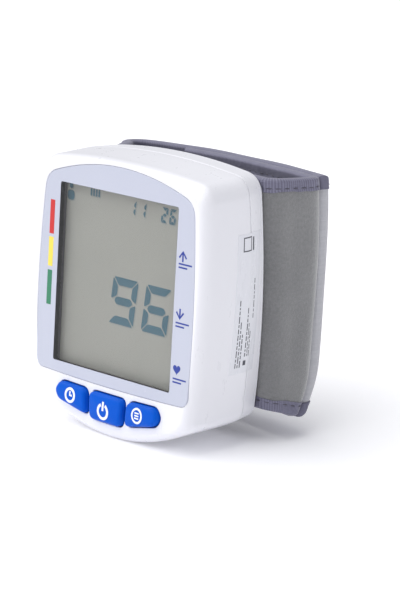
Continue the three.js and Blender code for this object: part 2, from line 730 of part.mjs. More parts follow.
// Pump with its motor, exhaust valve, manifold with the cuff nozzle, and the tubes between them.
function airPieces() {
  const rim = 0.6;
  const motor = turned([
    [0, 0], [motorRadius - rim, 0], [motorRadius, rim], [motorRadius, motorLength - rim],
    [motorRadius - rim, motorLength], [nubRadius, motorLength], [nubRadius, motorLength + nubLength],
    [0, motorLength + nubLength],
  ], motorX, worksDepth, motorBottom);
  const headTop = motorBottom - fit;
  const headLeft = motorX - headWidth / 2;
  const headBottom = headTop - headLength;
  const head = solid(standingBlock(headWidth / 2, motorRadius, motorX, worksDepth, headBottom, headTop, 2))
    .add(solid(crossBar(nozzleRadius, worksDepth, manifoldZ, headLeft - nozzleReach, headLeft + rim)));
  const half = manifoldSize / 2;
  const left = manifoldX - half;
  const right = manifoldX + half;
  const top = manifoldZ + half;
  const rise = turned(
    [[0, 0], [sensorNozzle, 0], [sensorNozzle, rim + nozzleReach], [0, rim + nozzleReach]],
    manifoldX, worksDepth, top - rim, 10);
  const manifold = solid(standingBlock(half, half, manifoldX, worksDepth, manifoldZ - half, top, 1))
    .add(solid(crossBar(nozzleRadius, worksDepth, manifoldZ, right - rim, right + nozzleReach)))
    .add(solid(rise))
    .add(solid(bar(nozzleRadius, manifoldX, manifoldZ, worksDepth, bladderFront - fit, 12)))
    .subtract(solid(crossBar(nozzleRadius + fit, worksDepth, manifoldZ, left - rim, left + nozzleReach)));
  const valveX = left - fit - valveRadius;
  const valveBody = turned([
    [0, -valveLength / 2], [valveRadius - rim, -valveLength / 2], [valveRadius, rim - valveLength / 2],
    [valveRadius, valveLength / 2 - rim], [valveRadius - rim, valveLength / 2], [0, valveLength / 2],
  ], valveX, worksDepth, manifoldZ);
  const valve = solid(valveBody)
    .add(solid(crossBar(nozzleRadius, worksDepth, manifoldZ, valveX, left + nozzleReach - rim)));
  const pumpTube = tube([
    new THREE.Vector3(right + fit, worksDepth, manifoldZ),
    new THREE.Vector3(headLeft - fit, worksDepth, manifoldZ),
  ], nozzleRadius + fit);
  const sensorEdge = sensorZ - sensorSize / 2;
  const sensorEnd = new THREE.Vector3(manifoldX, sensorDepth, sensorEdge - fit).applyMatrix4(tilt);
  const sensorTip = new THREE.Vector3(manifoldX, sensorDepth, sensorEdge - nozzleReach).applyMatrix4(tilt);
  const riseTip = new THREE.Vector3(manifoldX, worksDepth, top + nozzleReach);
  const sensorTube = tube([
    new THREE.Vector3(manifoldX, worksDepth, top + fit),
    riseTip,
    riseTip.clone().lerp(sensorTip, 0.5),
    sensorTip,
    sensorEnd,
  ], sensorBore);
  return [
    piece('pump_motor', motor, steel),
    piece('pump_head', head, greyPlastic),
    piece('exhaust_valve', valve, steel),
    piece('air_manifold', manifold, greyPlastic),
    piece('pump_tube', pumpTube, clearTube),
    piece('sensor_tube', sensorTube, clearTube),
  ];
}

// Depths of the layers behind the housing
const baseY = housingDepth + fit + bindingProud + clothThickness / 2;
const clampFront = baseY + clothThickness / 2 + fit;
const clampBack = clampFront + clampThickness;
const bladderFront = clampBack + fit;
const crestY = cuffReach - clothThickness / 2;

// Line of the outer cloth layer across the back of the cuff, and of the layer under it.
function backBow(x) {
  const [drop, end] = x > crestX ? [cuffDropRight, cuffRight] : [cuffDropLeft, -cuffLeft];
  return crestY - drop * ((x - crestX) / (end - crestX)) ** 2;
}

function innerBow(x) {
  return backBow(x) - clothThickness - layerGap;
}

// How far the cuff's back leans backwards at a height; its base against the housing stays upright.
function leanAt(y, z) {
  const share = THREE.MathUtils.clamp((y - baseY) / (flapJoint - baseY), 0, 1);
  const middle = (cuffTop - cuffBottom) / 2;
  return share * (z - middle) * Math.tan(THREE.MathUtils.degToRad(leanBack));
}

// Padded cloth band along a plan curve, with a thicker sewn binding along both edges.
function clothBand(plan, steps) {
  const path = new THREE.CatmullRomCurve3(plan.map(([x, y]) => new THREE.Vector3(x, y, 0)));
  const half = clothThickness / 2;
  const full = half + bindingProud;
  const soft = 0.6;
  const section = (y) => {
    const droop = (y - baseY) / (crestY - baseY);
    const top = cuffTop - cuffTopDrop * droop;
    const bottom = -cuffBottom - cuffBottomDrop * droop;
    const rightSide = [
      [half - soft / 2, bottom], [full, bottom + soft], [full, bottom + bindingTall],
      [half, bottom + bindingTall + soft], [half, top - bindingTall - soft],
      [full, top - bindingTall], [full, top - soft], [half - soft / 2, top],
    ];
    const leftSide = rightSide.map(([offset, z]) => [-offset, z]).reverse();
    return [...rightSide, ...leftSide];
  };
  const rings = [];
  for (let k = 0; k <= steps; k += 1) {
    const spot = path.getPointAt(k / steps);
    const along = path.getTangentAt(k / steps);
    const ring = section(spot.y).map(([offset, z]) => new THREE.Vector3(
      spot.x + along.y * offset, spot.y - along.x * offset + leanAt(spot.y, z), z));
    rings.push(ring);
  }
  return loft(rings, section(plan[0][1]).map(([offset, z]) => new THREE.Vector2(offset, z)));
}

function spread(from, to, count) {
  return Array.from({ length: count }, (_, k) => from + (to - from) * k / (count - 1));
}

// Cuff: panel behind the housing, right arm with the inner back layer, left panel, flap and hook tape.
function cuffPieces() {
  const base = spread(-baseHalf, baseHalf, 4).map((x) => [x, baseY]);
  let basePanel = solid(clothBand(base, 4));
  const holes = [
    [0, cuffScrewZ, screwRadius], [0, -cuffScrewZ, screwRadius], [manifoldX, manifoldZ, nozzleRadius],
  ];
  const clampShape = roundedPolygon(rectangle(clampHalf, clampTall / 2), 4);
  let clamp = solid(plate(clampShape, clampFront, clampBack));
  holes.forEach(([x, z, radius]) => {
    const drill = solid(bar(radius + fit, x, z, housingDepth, 2 * housingDepth, 12));
    basePanel = basePanel.subtract(drill);
    clamp = clamp.subtract(drill);
  });
  const headSeat = clampBack - screwHeadTall - fit;
  [cuffScrewZ, -cuffScrewZ].forEach((z) => {
    clamp = clamp.subtract(solid(bar(screwHeadRadius + fit, 0, z, headSeat, 2 * housingDepth)));
  });
  const cornerY = innerBow(cuffRight) + layerGap - 2 * bindingProud - fit;
  const cornerX = cuffRight - 0.75 * armBend;
  const rightArm = [
    [baseHalf + fit, baseY], [baseHalf + 0.4 * armBend, baseY], [baseHalf + armBend, baseY + armBend / 2],
    [cuffRight - armBend / 5, baseY + 1.6 * armBend], [cuffRight, cornerY - armBend / 2],
    [cuffRight - armBend / 5, cornerY - armBend / 10], [cornerX, innerBow(cornerX)],
    ...spread(cuffRight - 2.4 * armBend, innerLayerEnd, 6).map((x) => [x, innerBow(x)]),
  ];
  const bendX = -baseHalf - 0.6 * flapBend;
  const bendY = baseY + flapBend / 4;
  const leftPanel = [
    [-baseHalf - fit, baseY], [-baseHalf - flapBend / 4, baseY],
    ...[0, 0.35, 0.7].map((share) => [
      THREE.MathUtils.lerp(bendX, -cuffLeft, share), THREE.MathUtils.lerp(bendY, flapJoint, share),
    ]),
    [flapBend / 6 - cuffLeft, flapJoint - flapBend / 2], [-cuffLeft, flapJoint - flapBend / 8],
    [-cuffLeft, flapJoint - fit / 2],
  ];
  const flap = [
    [-cuffLeft, flapJoint + fit / 2], [-cuffLeft, flapJoint + flapBend / 6],
    [flapBend / 8 - cuffLeft, flapJoint + flapBend / 2],
    [flapBend / 2 - cuffLeft, flapJoint + 0.95 * flapBend],
    ...spread(1.6 * flapBend - cuffLeft, cuffRight - flapBend, 8).map((x) => [x, backBow(x)]),
    [cuffRight, backBow(cuffRight) - fit],
  ];
  const bladderShape = roundedPolygon(rectangle(bladderHalf, bladderTall / 2), 6);
  const bladderBack = bladderFront + bladderThickness;
  return {
    fixed: [
      piece('cuff_base_panel', basePanel, greyCloth),
      piece('cuff_clamp_plate', clamp, greyPlastic),
      screw('cuff_screw_upper', 0, cuffScrewZ, clampBack, cuffScrewLength),
      screw('cuff_screw_lower', 0, -cuffScrewZ, clampBack, cuffScrewLength),
      piece('air_bladder', plate(bladderShape, bladderFront, bladderBack, bladderThickness / 3), greyCloth),
      piece('cuff_right_arm', clothBand(rightArm, 24), greyCloth),
      piece('cuff_left_panel', clothBand(leftPanel, 10), greyCloth),
    ],
    moving: [
      piece('closing_flap', clothBand(flap, 26), greyCloth),
      piece('hook_tape', hookTape(), hookCloth),
    ],
  };
}

// Hook tape on the inside of the flap, facing the layer under it.
function hookTape() {
  const right = cuffRight - 2 * armBend;
  const steps = 8;
  const rings = spread(right - hookLength, right, steps + 1).map((x) => {
    const faceY = backBow(x) - clothThickness / 2 - fit;
    const middle = -(cuffBottomDrop + cuffTopDrop) / 2;
    return [[0, -1], [0, 1], [-hookThickness, 1], [-hookThickness, -1]].map(([depth, side]) => {
      const z = middle + side * hookTall / 2;
      return new THREE.Vector3(x, faceY + depth + leanAt(backBow(x), z), z);
    });
  });
  return loft(rings, rings[0].map((point) => new THREE.Vector2(point.y, point.z)));
}

const face = new THREE.Group();
face.rotation.x = -THREE.MathUtils.degToRad(leanBack);
face.add(...displayPieces(), ...keys.flatMap(keyPieces), ...boardParts());

const housing = new THREE.Group();
housing.position.set(0, -footMiddle, windowHeight);
housing.add(
  piece('front_case', frontCase(), whitePlastic),
  piece('rear_cover', rearCover(), whitePlastic),
  piece('battery_cover', batteryCover(), whitePlastic),
  ...postSpots.map(([x, z], k) => screw(`case_screw_${k + 1}`, x, z, housingDepth, screwLength)),
  face,
  ...batteryPieces(),
  ...airPieces(),
);

const cuff = cuffPieces();
housing.add(...cuff.fixed, ...cuff.moving);

const monitor = new THREE.Group();
monitor.add(housing);

export default monitor;
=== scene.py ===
# Wrist blood pressure monitor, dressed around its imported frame.
# Sizes are in millimetres until a mesh is made.
# Face frame: x to the right, y behind the lens and z up the leaning face, from the middle of the window.
# Housing frame: the same origin, standing upright. Row frame: the origin under the middle of the foot.

import math

import bmesh
import bpy
import numpy as np
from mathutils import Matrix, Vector


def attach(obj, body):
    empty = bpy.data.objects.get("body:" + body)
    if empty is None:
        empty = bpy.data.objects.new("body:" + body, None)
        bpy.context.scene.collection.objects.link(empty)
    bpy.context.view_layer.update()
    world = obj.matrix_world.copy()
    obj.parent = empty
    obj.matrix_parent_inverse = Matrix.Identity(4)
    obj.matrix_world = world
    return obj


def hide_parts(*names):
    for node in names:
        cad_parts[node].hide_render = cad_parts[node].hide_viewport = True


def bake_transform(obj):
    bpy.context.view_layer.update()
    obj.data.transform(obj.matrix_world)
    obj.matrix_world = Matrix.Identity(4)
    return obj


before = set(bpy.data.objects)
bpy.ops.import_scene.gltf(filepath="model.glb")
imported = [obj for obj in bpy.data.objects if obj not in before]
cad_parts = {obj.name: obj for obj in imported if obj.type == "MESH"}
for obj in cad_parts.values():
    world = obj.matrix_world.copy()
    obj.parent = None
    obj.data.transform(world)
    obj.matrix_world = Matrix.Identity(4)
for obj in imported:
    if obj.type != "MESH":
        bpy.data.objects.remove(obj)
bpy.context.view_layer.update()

MM = 0.001
TINY = 1e-9
CORNER_SHARE = 0.45
MITRE_LEAST = 0.5

# Housing
LEAN = math.radians(4.2)
FOOT_MIDDLE = 12.0
WINDOW_HEIGHT = 42.5
FIT = 0.3
TAPER_FROM = 17.0
PARTING = 18.2
SEAM_GAP = 0.14
HOUSING_DEPTH = 25.0
WALL = 1.8
FRONT_WALL = 2.6
EDGE_DEPTH, EDGE_STEPS = 4.0, 12
BACK_ROUND, BACK_STEPS = 1.3, 8
BACK_TAPER = 2.2
BACK_GROOVE = [(0.0, 0.27), (0.14, 0.22), (0.14, 0.12), (0.0, 0.07)]
PARTING_LIP = [(0.0, 0.24), (0.02, 0.12), (0.06, 0.04), (0.12, 0.0)]
TONGUE_REACH, TONGUE_THICK = 1.2, 0.9
HOLLOW_STEP = 1.2
CLEAR = 1.0
MOUTH_BEND = (0.35, 0.3)
LENS = dict(half=31.9, crown=31.9, shoulder=26.4, shoulder_half=30.2, hip=27.6, hip_half=31.2, sag=28.3,
            top_round=3.4, bottom_round=2.4)
BODY = dict(half=35.1, crown=33.9, shoulder=31.4, shoulder_half=34.1, hip=34.2, hip_half=31.7, sag=42.8,
            top_round=5.0, bottom_round=2.0)
FACE = dict(half=32.8, crown=32.5, shoulder=27.0, shoulder_half=31.6, hip=34.5, hip_half=28.7, sag=39.8,
            top_round=4.0, bottom_round=4.0)

# Display stack
LENS_THICK, LENS_EDGE, LENS_LIP = 1.2, 0.22, 0.14
LENS_GAP = 0.06
WINDOW, WINDOW_ROUND = (24.4, 25.0), 0.7
PANE_GAP, PANE_EDGE, PANE_FACING = 0.02, 0.05, 0.9
GASKET_FRONT, GASKET_BACK = 1.5, 3.0
GASKET_INNER, GASKET_WIDTH = (25.0, 25.6), 0.5
GASKET_ROUND, GASKET_EDGE = 0.4, 0.15
APERTURE = (25.7, 26.3)
GLASS, GLASS_ROUND, GLASS_EDGE = (25.0, 25.6), 0.3, 0.12
GLASS_FRONT, GLASS_BACK = 3.3, 5.3

# Keys
KEY_PROUD, KEY_BOW = 2.0, 0.4
KEY_SKIRT, KEY_BACK = 0.6, 3.3
KEY_ROUND, KEY_EASE, KEY_LIP = 2.3, 0.25, 0.3
KEY_EDGE, KEY_EDGE_STEPS, KEY_CREASE = 1.1, 6, 50.0
CROWN_START, CROWN_STEPS = 0.1, 9
MIDDLE_KEY = [(6.7, -38.4), (7.3, -30.2), (-7.3, -30.2), (-6.7, -38.4)]
RIGHT_KEY = [(7.9, -37.8), (20.0, -35.4), (21.8, -32.8), (20.0, -29.9), (8.5, -30.2)]
LEFT_KEY = [(-x, z) for x, z in reversed(RIGHT_KEY)]
KEYS = {"clock": LEFT_KEY, "power": MIDDLE_KEY, "memory": RIGHT_KEY}

# Battery bay in the left wall
DOOR_X = -29.7
DOOR_FRONT, DOOR_BACK = 11.35, 23.7
DOOR_HALF = 24.5
LID_EDGE, LID_EDGE_STEPS, LID_SHARP = 0.22, 2, 50.0
RIB_COUNT, RIB_PITCH, RIB_LENGTH, RIB_RISE = 5, 2.2, 6.0, 0.5
CELL_DEPTH = 17.0
CELL_X = (-25.75, -14.95)

# Cuff
CLOTH = 2.6
BINDING_PROUD, BINDING_TALL = 0.35, 3.6
CUFF_TOP, CUFF_TOP_DROP = 30.6, 1.7
CUFF_BOTTOM, CUFF_BOTTOM_DROP = 33.5, 4.0
BASE_HALF = 29.5
CUFF_RIGHT, CUFF_LEFT = 35.0, 40.5
FLAP_JOINT = 39.5
INNER_LAYER_END = -22.0
CREST_X = -10.0
DROP_LEFT, DROP_RIGHT = 5.4, 5.5
ARM_BEND, FLAP_BEND = 3.7, 4.0
BASE_Y = 26.95
CREST_Y = 48.9
LAYER_STEP = 4.1
BULGE, TOP_CURL, LOW_CURL, CURL_REACH = 1.1, 0.9, 2.2, (6.0, 11.0)
LOW_CURL_PAST = 1.3
PATH_STEP, CURVE_STEPS = 0.5, 40
WAVE_PHASE = 1.7


# Places

def from_face(points):
    """Points of the face frame in the row frame, in millimetres."""
    x, y, z = np.asarray(points, float).T
    back = y * math.cos(LEAN) + z * math.sin(LEAN)
    up = z * math.cos(LEAN) - y * math.sin(LEAN)
    return np.stack([x, back - FOOT_MIDDLE, up + WINDOW_HEIGHT], 1)


def from_housing(points):
    """Points of the housing frame in the row frame, in millimetres."""
    return np.asarray(points, float) + (0.0, -FOOT_MIDDLE, WINDOW_HEIGHT)


def at_depth(outline, depth):
    """A flat outline of x and z at one depth, or at the depths that a function of x and z gives."""
    x, z = np.asarray(outline, float).T
    y = depth(x, z) if callable(depth) else np.full(len(x), depth)
    return np.stack([x, y, z], 1)


def unit(vectors):
    """Rows of an array, each made one long."""
    return vectors / np.maximum(np.linalg.norm(vectors, axis=1, keepdims=True), TINY)


def beside(along):
    """Directions at the right of the given ones."""
    return np.stack([along[:, 1], -along[:, 0]], 1)


# Outlines, all counterclockwise seen from the front

def bezier(start, control, end, t):
    t = np.asarray(t, float)[:, None]
    return (1 - t) ** 2 * start + 2 * t * (1 - t) * control + t ** 2 * end


def bowed_outline(size, inset=0.0, steps=(28, 44, 28, 52), turns=12):
    """Four bowed sides between rounded corners, as the housing and its lens have."""
    half, crown, sag = size["half"] - inset, size["crown"] - inset, inset - size["sag"]
    shoulder = np.array([size["shoulder_half"] - inset, size["shoulder"] - inset])
    hip = np.array([size["hip_half"] - inset, inset - size["hip"]])
    mirror = np.array([-1.0, 1.0])
    corners = [hip, shoulder, shoulder * mirror, hip * mirror]
    low, high = max(size["bottom_round"] - inset, FIT), max(size["top_round"] - inset, FIT)
    rounds = [low, high, high, low]
    middle = (hip[1] + shoulder[1]) / 2
    middles = np.array([[half, middle], [0, crown], [-half, middle], [0, sag]])
    sides = []
    for i in range(4):
        start, end = corners[i], corners[(i + 1) % 4]
        control = 2 * middles[i] - (start + end) / 2
        length = np.linalg.norm(end - start)
        span = np.linspace(rounds[i] / length, 1 - rounds[(i + 1) % 4] / length, steps[i] + 1)
        sides.append(bezier(start, control, end, span))
    turn = np.linspace(0, 1, turns + 1)[1:-1]
    outline = []
    for i in range(4):
        after = (i + 1) % 4
        outline += [sides[i], bezier(sides[i][-1], corners[after], sides[after][0], turn)]
    return np.concatenate(outline)


def rectangle(half_x, half_z, x=0.0, z=0.0):
    sides = ((1, -1), (1, 1), (-1, 1), (-1, -1))
    return [(x + across * half_x, z + up * half_z) for across, up in sides]


def rounded(corners, radius, turns=8):
    """Polygon with its corners rounded; a corner takes up less than half of each side."""
    corners = np.asarray(corners, float)
    outline = []
    for i, corner in enumerate(corners):
        before, after = corners[i - 1] - corner, corners[(i + 1) % len(corners)] - corner
        reach = min(radius, *(CORNER_SHARE * np.linalg.norm(side) for side in (before, after)))
        enter = corner + before * reach / np.linalg.norm(before)
        leave = corner + after * reach / np.linalg.norm(after)
        outline.append(bezier(enter, corner, leave, np.linspace(0, 1, turns + 1)))
    return np.concatenate(outline)


def grown(outline, distance):
    """Outline with each point moved outwards, square to the outline there."""
    outline = np.asarray(outline, float)
    normal = beside(unit(np.roll(outline, -1, 0) - outline))
    both = unit(normal + np.roll(normal, 1, 0))
    share = np.clip((both * normal).sum(1, keepdims=True), MITRE_LEAST, 1)
    return outline + both * distance / share


def quarter_turn(steps, first=0):
    """Sines and cosines over a quarter turn, for rounded edges."""
    turns = [k / steps * math.pi / 2 for k in range(first, steps + 1)]
    return [(math.sin(turn), math.cos(turn)) for turn in turns]


# Meshes

def made_object(name, mesh):
    made = bpy.data.objects.new(name, mesh)
    bpy.context.scene.collection.objects.link(made)
    return made


def shade(mesh, smooth):
    mesh.polygons.foreach_set("use_smooth", np.full(len(mesh.polygons), smooth))


def made_mesh(name, points, faces, materials=(), slots=None):
    """Object from row-frame points in millimetres, with every face shaded smooth."""
    mesh = bpy.data.meshes.new(name)
    mesh.from_pydata((np.asarray(points, float) * MM).tolist(), [], [list(map(int, f)) for f in faces])
    for one in materials:
        mesh.materials.append(one)
    if slots is not None:
        mesh.polygons.foreach_set("material_index", np.asarray(slots, np.int32))
    shade(mesh, True)
    mesh.update()
    return made_object(name, mesh)


def loft(rings, capped=True):
    """Points and outward faces over rings of equally many points, given from the front to the back."""
    count = len(rings[0])
    faces = []
    for k in range(len(rings) - 1):
        for i in range(count):
            a, b = k * count + i, k * count + (i + 1) % count
            faces.append((a, a + count, b + count, b))
    if capped:
        end = (len(rings) - 1) * count
        faces += [tuple(range(count)), tuple(end + i for i in reversed(range(count)))]
    return np.concatenate(rings), faces


def joined(parts):
    """Several sets of points and faces as one."""
    points, faces, base = [], [], 0
    for some_points, some_faces in parts:
        points.append(np.asarray(some_points, float))
        faces += [tuple(i + base for i in face) for face in some_faces]
        base += len(some_points)
    return np.concatenate(points), faces


def discard(made):
    mesh = made.data
    bpy.data.objects.remove(made)
    bpy.data.meshes.remove(mesh)


def settled(made):
    """Puts the result of an object's modifiers into its own mesh."""
    bpy.context.view_layer.update()
    done = bpy.data.meshes.new_from_object(made.evaluated_get(bpy.context.evaluated_depsgraph_get()))
    old = made.data
    made.modifiers.clear()
    made.data = done
    done.name = made.name
    bpy.data.meshes.remove(old)
    return made


def cut(made, operation, *tools):
    """Joins, cuts or keeps the shared part of an object and the given tools, which are used up."""
    for tool in tools:
        step = made.modifiers.new("cut", "BOOLEAN")
        step.operation, step.solver, step.object = operation, "EXACT", tool
        settled(made)
        discard(tool)
    return made


def creased(made, degrees=32.0):
    """Shades an object smooth, with edges sharper than the angle kept crisp and flat faces kept flat."""
    shade(made.data, True)
    made.data.set_sharp_from_angle(angle=math.radians(degrees))
    made.modifiers.new("flat faces first", "WEIGHTED_NORMAL").keep_sharp = True
    return settled(made)


def outward(made):
    """Turns the faces of a closed mesh outwards."""
    work = bmesh.new()
    work.from_mesh(made.data)
    bmesh.ops.recalc_face_normals(work, faces=work.faces)
    work.to_mesh(made.data)
    work.free()
    return made


def cloth_map(made, spots):
    """Gives a mesh its map, in millimetres, from the place of each point on the flat cloth."""
    layer = made.data.uv_layers.new(name="cloth map")
    corners = np.array([loop.vertex_index for loop in made.data.loops])
    layer.data.foreach_set("uv", spots[corners].astype(np.float32).reshape(-1))


def cutter(rings):
    return made_mesh("cutter", *loft(rings))


def block(low, high):
    """Box between two corners of the housing frame, for cutting."""
    outline = [(high[0], low[2]), (high[0], high[2]), (low[0], high[2]), (low[0], low[2])]
    return cutter([from_housing(at_depth(outline, y)) for y in (low[1], high[1])])


def hole(outline, front, back):
    """Straight cutter between two depths of the face."""
    return cutter([from_face(at_depth(outline, depth)) for depth in (front, back)])


def rounded_plate(outline, front, back, edge, steps=4):
    """Plate with rounded front and back edges, as points and faces."""
    turns = quarter_turn(steps)
    rings = [at_depth(grown(outline, -edge * (1 - sine)), front + edge * (1 - cosine))
             for sine, cosine in turns]
    rings += [at_depth(grown(outline, -edge * (1 - cosine)), back - edge * (1 - sine))
              for sine, cosine in turns]
    return loft([from_face(ring) for ring in rings])


def placed(made, name, body, slot, materials, *nodes):
    """Names a finished piece, gives it its finish and sets it on its body in place of CAD nodes."""
    made.name = made.data.name = name
    if materials:
        made.data.materials.clear()
        for one in materials:
            made.data.materials.append(one)
    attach(made, body)
    if nodes:
        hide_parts(*nodes)
    return made


# Node trees

def fill(tree, socket, value):
    """Links a socket to another one, or sets its value."""
    if isinstance(value, bpy.types.NodeSocket):
        tree.links.new(value, socket)
    else:
        socket.default_value = value


def add(tree, kind, inputs=None, **settings):
    """Adds a node, sets it up, and fills or links its inputs."""
    made = tree.nodes.new(kind)
    for key, value in settings.items():
        setattr(made, key, value)
    for key, value in (inputs or {}).items():
        fill(tree, made.inputs[key], value)
    return made


def new_tree(name, kind, inputs, outputs):
    """Node group with named sockets; gives the tree and its inputs."""
    tree = bpy.data.node_groups.new(name, kind)
    for side, sockets in (("INPUT", inputs), ("OUTPUT", outputs)):
        for key, socket in sockets.items():
            tree.interface.new_socket(key, in_out=side, socket_type="NodeSocket" + socket)
    return tree, add(tree, "NodeGroupInput").outputs


def math_node(tree, operation, *values):
    return add(tree, "ShaderNodeMath", dict(enumerate(values)), operation=operation).outputs[0]


def combined(tree, **parts):
    return add(tree, "ShaderNodeCombineXYZ", parts).outputs[0]


def weighted(tree, *terms):
    """Sum of values, each times its weight."""
    total = 0.0
    for value, weight in terms:
        total = math_node(tree, "MULTIPLY_ADD", value, weight, total)
    return total


def noise(tree, vector, scale, detail=3.0, roughness=0.5, stretch=None):
    if stretch:
        vector = add(tree, "ShaderNodeMapping", {"Vector": vector, "Scale": stretch}).outputs["Vector"]
    inputs = {"Vector": vector, "Scale": scale, "Detail": detail, "Roughness": roughness}
    return add(tree, "ShaderNodeTexNoise", inputs).outputs["Fac"]


# Shared surfaces: colour, roughness and height from a place, a scale and the ends of their ranges

NOISE_LOW, NOISE_HIGH = 0.25, 0.75
DRIFT_SCALE, MARK_SCALE, MARK_STRETCH = 45.0, 320.0, (1.0, 1.0, 0.35)
TUFT_STRETCH, PATCH_STRETCH, FUZZ_STRETCH = (1.9, 1.1, 1.0), (0.16, 0.09, 1.0), (5.2, 4.0, 1.0)
YARN_SCALE, YARN_STRETCH, WORN_SCALE, PICKS = 1.6, (0.5, 2.2, 1.0), 0.22, 2.6


def between(tree, share, low, high):
    """A value that runs from low to high over the middle range of a noise."""
    inputs = {"Value": share, "From Min": NOISE_LOW, "From Max": NOISE_HIGH, "To Min": low, "To Max": high}
    return add(tree, "ShaderNodeMapRange", inputs, clamp=True).outputs["Result"]


def mixed(tree, share, a, b):
    return add(tree, "ShaderNodeMix", {0: share, 6: a, 7: b}, data_type="RGBA").outputs[2]


def new_surface(name):
    inputs = dict(Vector="Vector", Scale="Float", Light="Color", Dark="Color", Smooth="Float", Rough="Float")
    outputs = dict(Colour="Color", Roughness="Float", Height="Float")
    return new_tree(name, "ShaderNodeTree", inputs, outputs)


def surface_of(tree, colour, roughness, height):
    add(tree, "NodeGroupOutput", {"Colour": colour, "Roughness": roughness, "Height": height})
    return tree


def moulded_grain():
    """Fine orange-peel grain, slow tone drift and faint handling marks of a moulding."""
    tree, source = new_surface("moulded grain")
    fine = noise(tree, source["Vector"], source["Scale"], 2.0)
    slow = noise(tree, source["Vector"], DRIFT_SCALE, 2.0)
    marks = noise(tree, source["Vector"], MARK_SCALE, 4.0, 0.62, MARK_STRETCH)
    span = math_node(tree, "SUBTRACT", source["Rough"], source["Smooth"])
    rough = math_node(tree, "MULTIPLY_ADD", span, between(tree, marks, 0.0, 1.0), source["Smooth"])
    return surface_of(tree, mixed(tree, slow, source["Light"], source["Dark"]), rough, fine)


def nap_with_painted_shade():
    """Brushed pile: short tufts with softer patches and fuzz, on a map in millimetres; its tone follows the
    tufts and fuzz that make its height, so low pile is darker, a painted shade.
    """
    tree, source = new_surface("cloth nap and painted shade")
    tufts = noise(tree, source["Vector"], source["Scale"], 3.0, 0.6, TUFT_STRETCH)
    patches = noise(tree, source["Vector"], source["Scale"], 2.0, 0.5, PATCH_STRETCH)
    fuzz = noise(tree, source["Vector"], source["Scale"], 2.0, 0.7, FUZZ_STRETCH)
    # Painted shade: the tone takes the same tufts and fuzz as the height, darker where the pile is low; the
    # patches are the cloth's own tone.
    tone = between(tree, weighted(tree, (tufts, 0.4), (patches, 0.2), (fuzz, 0.4)), 0.0, 1.0)
    rough = between(tree, fuzz, source["Smooth"], source["Rough"])
    height = weighted(tree, (tufts, 0.55), (fuzz, 0.45))
    return surface_of(tree, mixed(tree, tone, source["Dark"], source["Light"]), rough, height)


def weave_with_painted_shade():
    """Woven tape: ribs across its length, with uneven yarns, on a map in millimetres; its tone follows the
    ribs and yarns that make its height, so the valleys are darker, a painted shade.
    """
    tree, source = new_surface("ribbed weave and painted shade")
    along = add(tree, "ShaderNodeSeparateXYZ", {0: source["Vector"]}).outputs
    ribs = math_node(tree, "MULTIPLY", source["Scale"], 2 * math.pi)
    wave = math_node(tree, "SINE", math_node(tree, "MULTIPLY", along["X"], ribs))
    rib = math_node(tree, "MULTIPLY_ADD", wave, 0.5, 0.5)
    pick = math_node(tree, "SINE", math_node(tree, "MULTIPLY", along["Y"], 2 * math.pi * PICKS))
    yarn = noise(tree, source["Vector"], YARN_SCALE, 3.0, 0.6, YARN_STRETCH)
    worn = noise(tree, source["Vector"], WORN_SCALE, 3.0, 0.6)
    # Painted shade: the tone takes the ribs and yarns of the height, darker in the valleys; the worn noise is
    # the tape's own uneven tone.
    tone = between(tree, weighted(tree, (rib, 0.3), (yarn, 0.4), (worn, 0.35)), 0.0, 1.0)
    rough = between(tree, yarn, source["Smooth"], source["Rough"])
    height = weighted(tree, (rib, 1.0), (pick, 0.12), (yarn, 0.5))
    return surface_of(tree, mixed(tree, tone, source["Dark"], source["Light"]), rough, height)


GRAIN, NAP_AND_PAINTED_SHADE, RIBS_AND_PAINTED_SHADE = moulded_grain(), nap_with_painted_shade(), weave_with_painted_shade()


def linear(red, green, blue):
    """Colour from its 0 to 255 screen values."""
    def one(value):
        value /= 255
        return value / 12.92 if value <= 0.04045 else ((value + 0.055) / 1.055) ** 2.4
    return one(red), one(green), one(blue), 1.0


def finish(name, light, dark, smooth=0.3, rough=0.4, scale=3000.0, bump=0.04, depth=0.05, cloth=None,
           **sockets):
    """Material whose colour, roughness and bump come from the moulded grain, or from a cloth on its map."""
    made = bpy.data.materials.new(name)
    made.use_nodes = True
    tree = made.node_tree
    inputs = {"Vector": add(tree, "ShaderNodeTexCoord").outputs["UV" if cloth else "Object"], "Scale": scale,
              "Light": linear(*light), "Dark": linear(*dark), "Smooth": smooth, "Rough": rough}
    surface = add(tree, "ShaderNodeGroup", inputs, node_tree=cloth or GRAIN).outputs
    height = {"Height": surface["Height"], "Strength": bump, "Distance": depth * MM}
    raised = add(tree, "ShaderNodeBump", height).outputs["Normal"]
    values = {key.replace("_", " "): value for key, value in sockets.items()}
    values.update({"Base Color": surface["Colour"], "Roughness": surface["Roughness"], "Normal": raised})
    for key, value in values.items():
        fill(tree, tree.nodes["Principled BSDF"].inputs[key], value)
    return made


# Finishes: light and dark tone, least and most roughness, scale, strength and depth of the bump

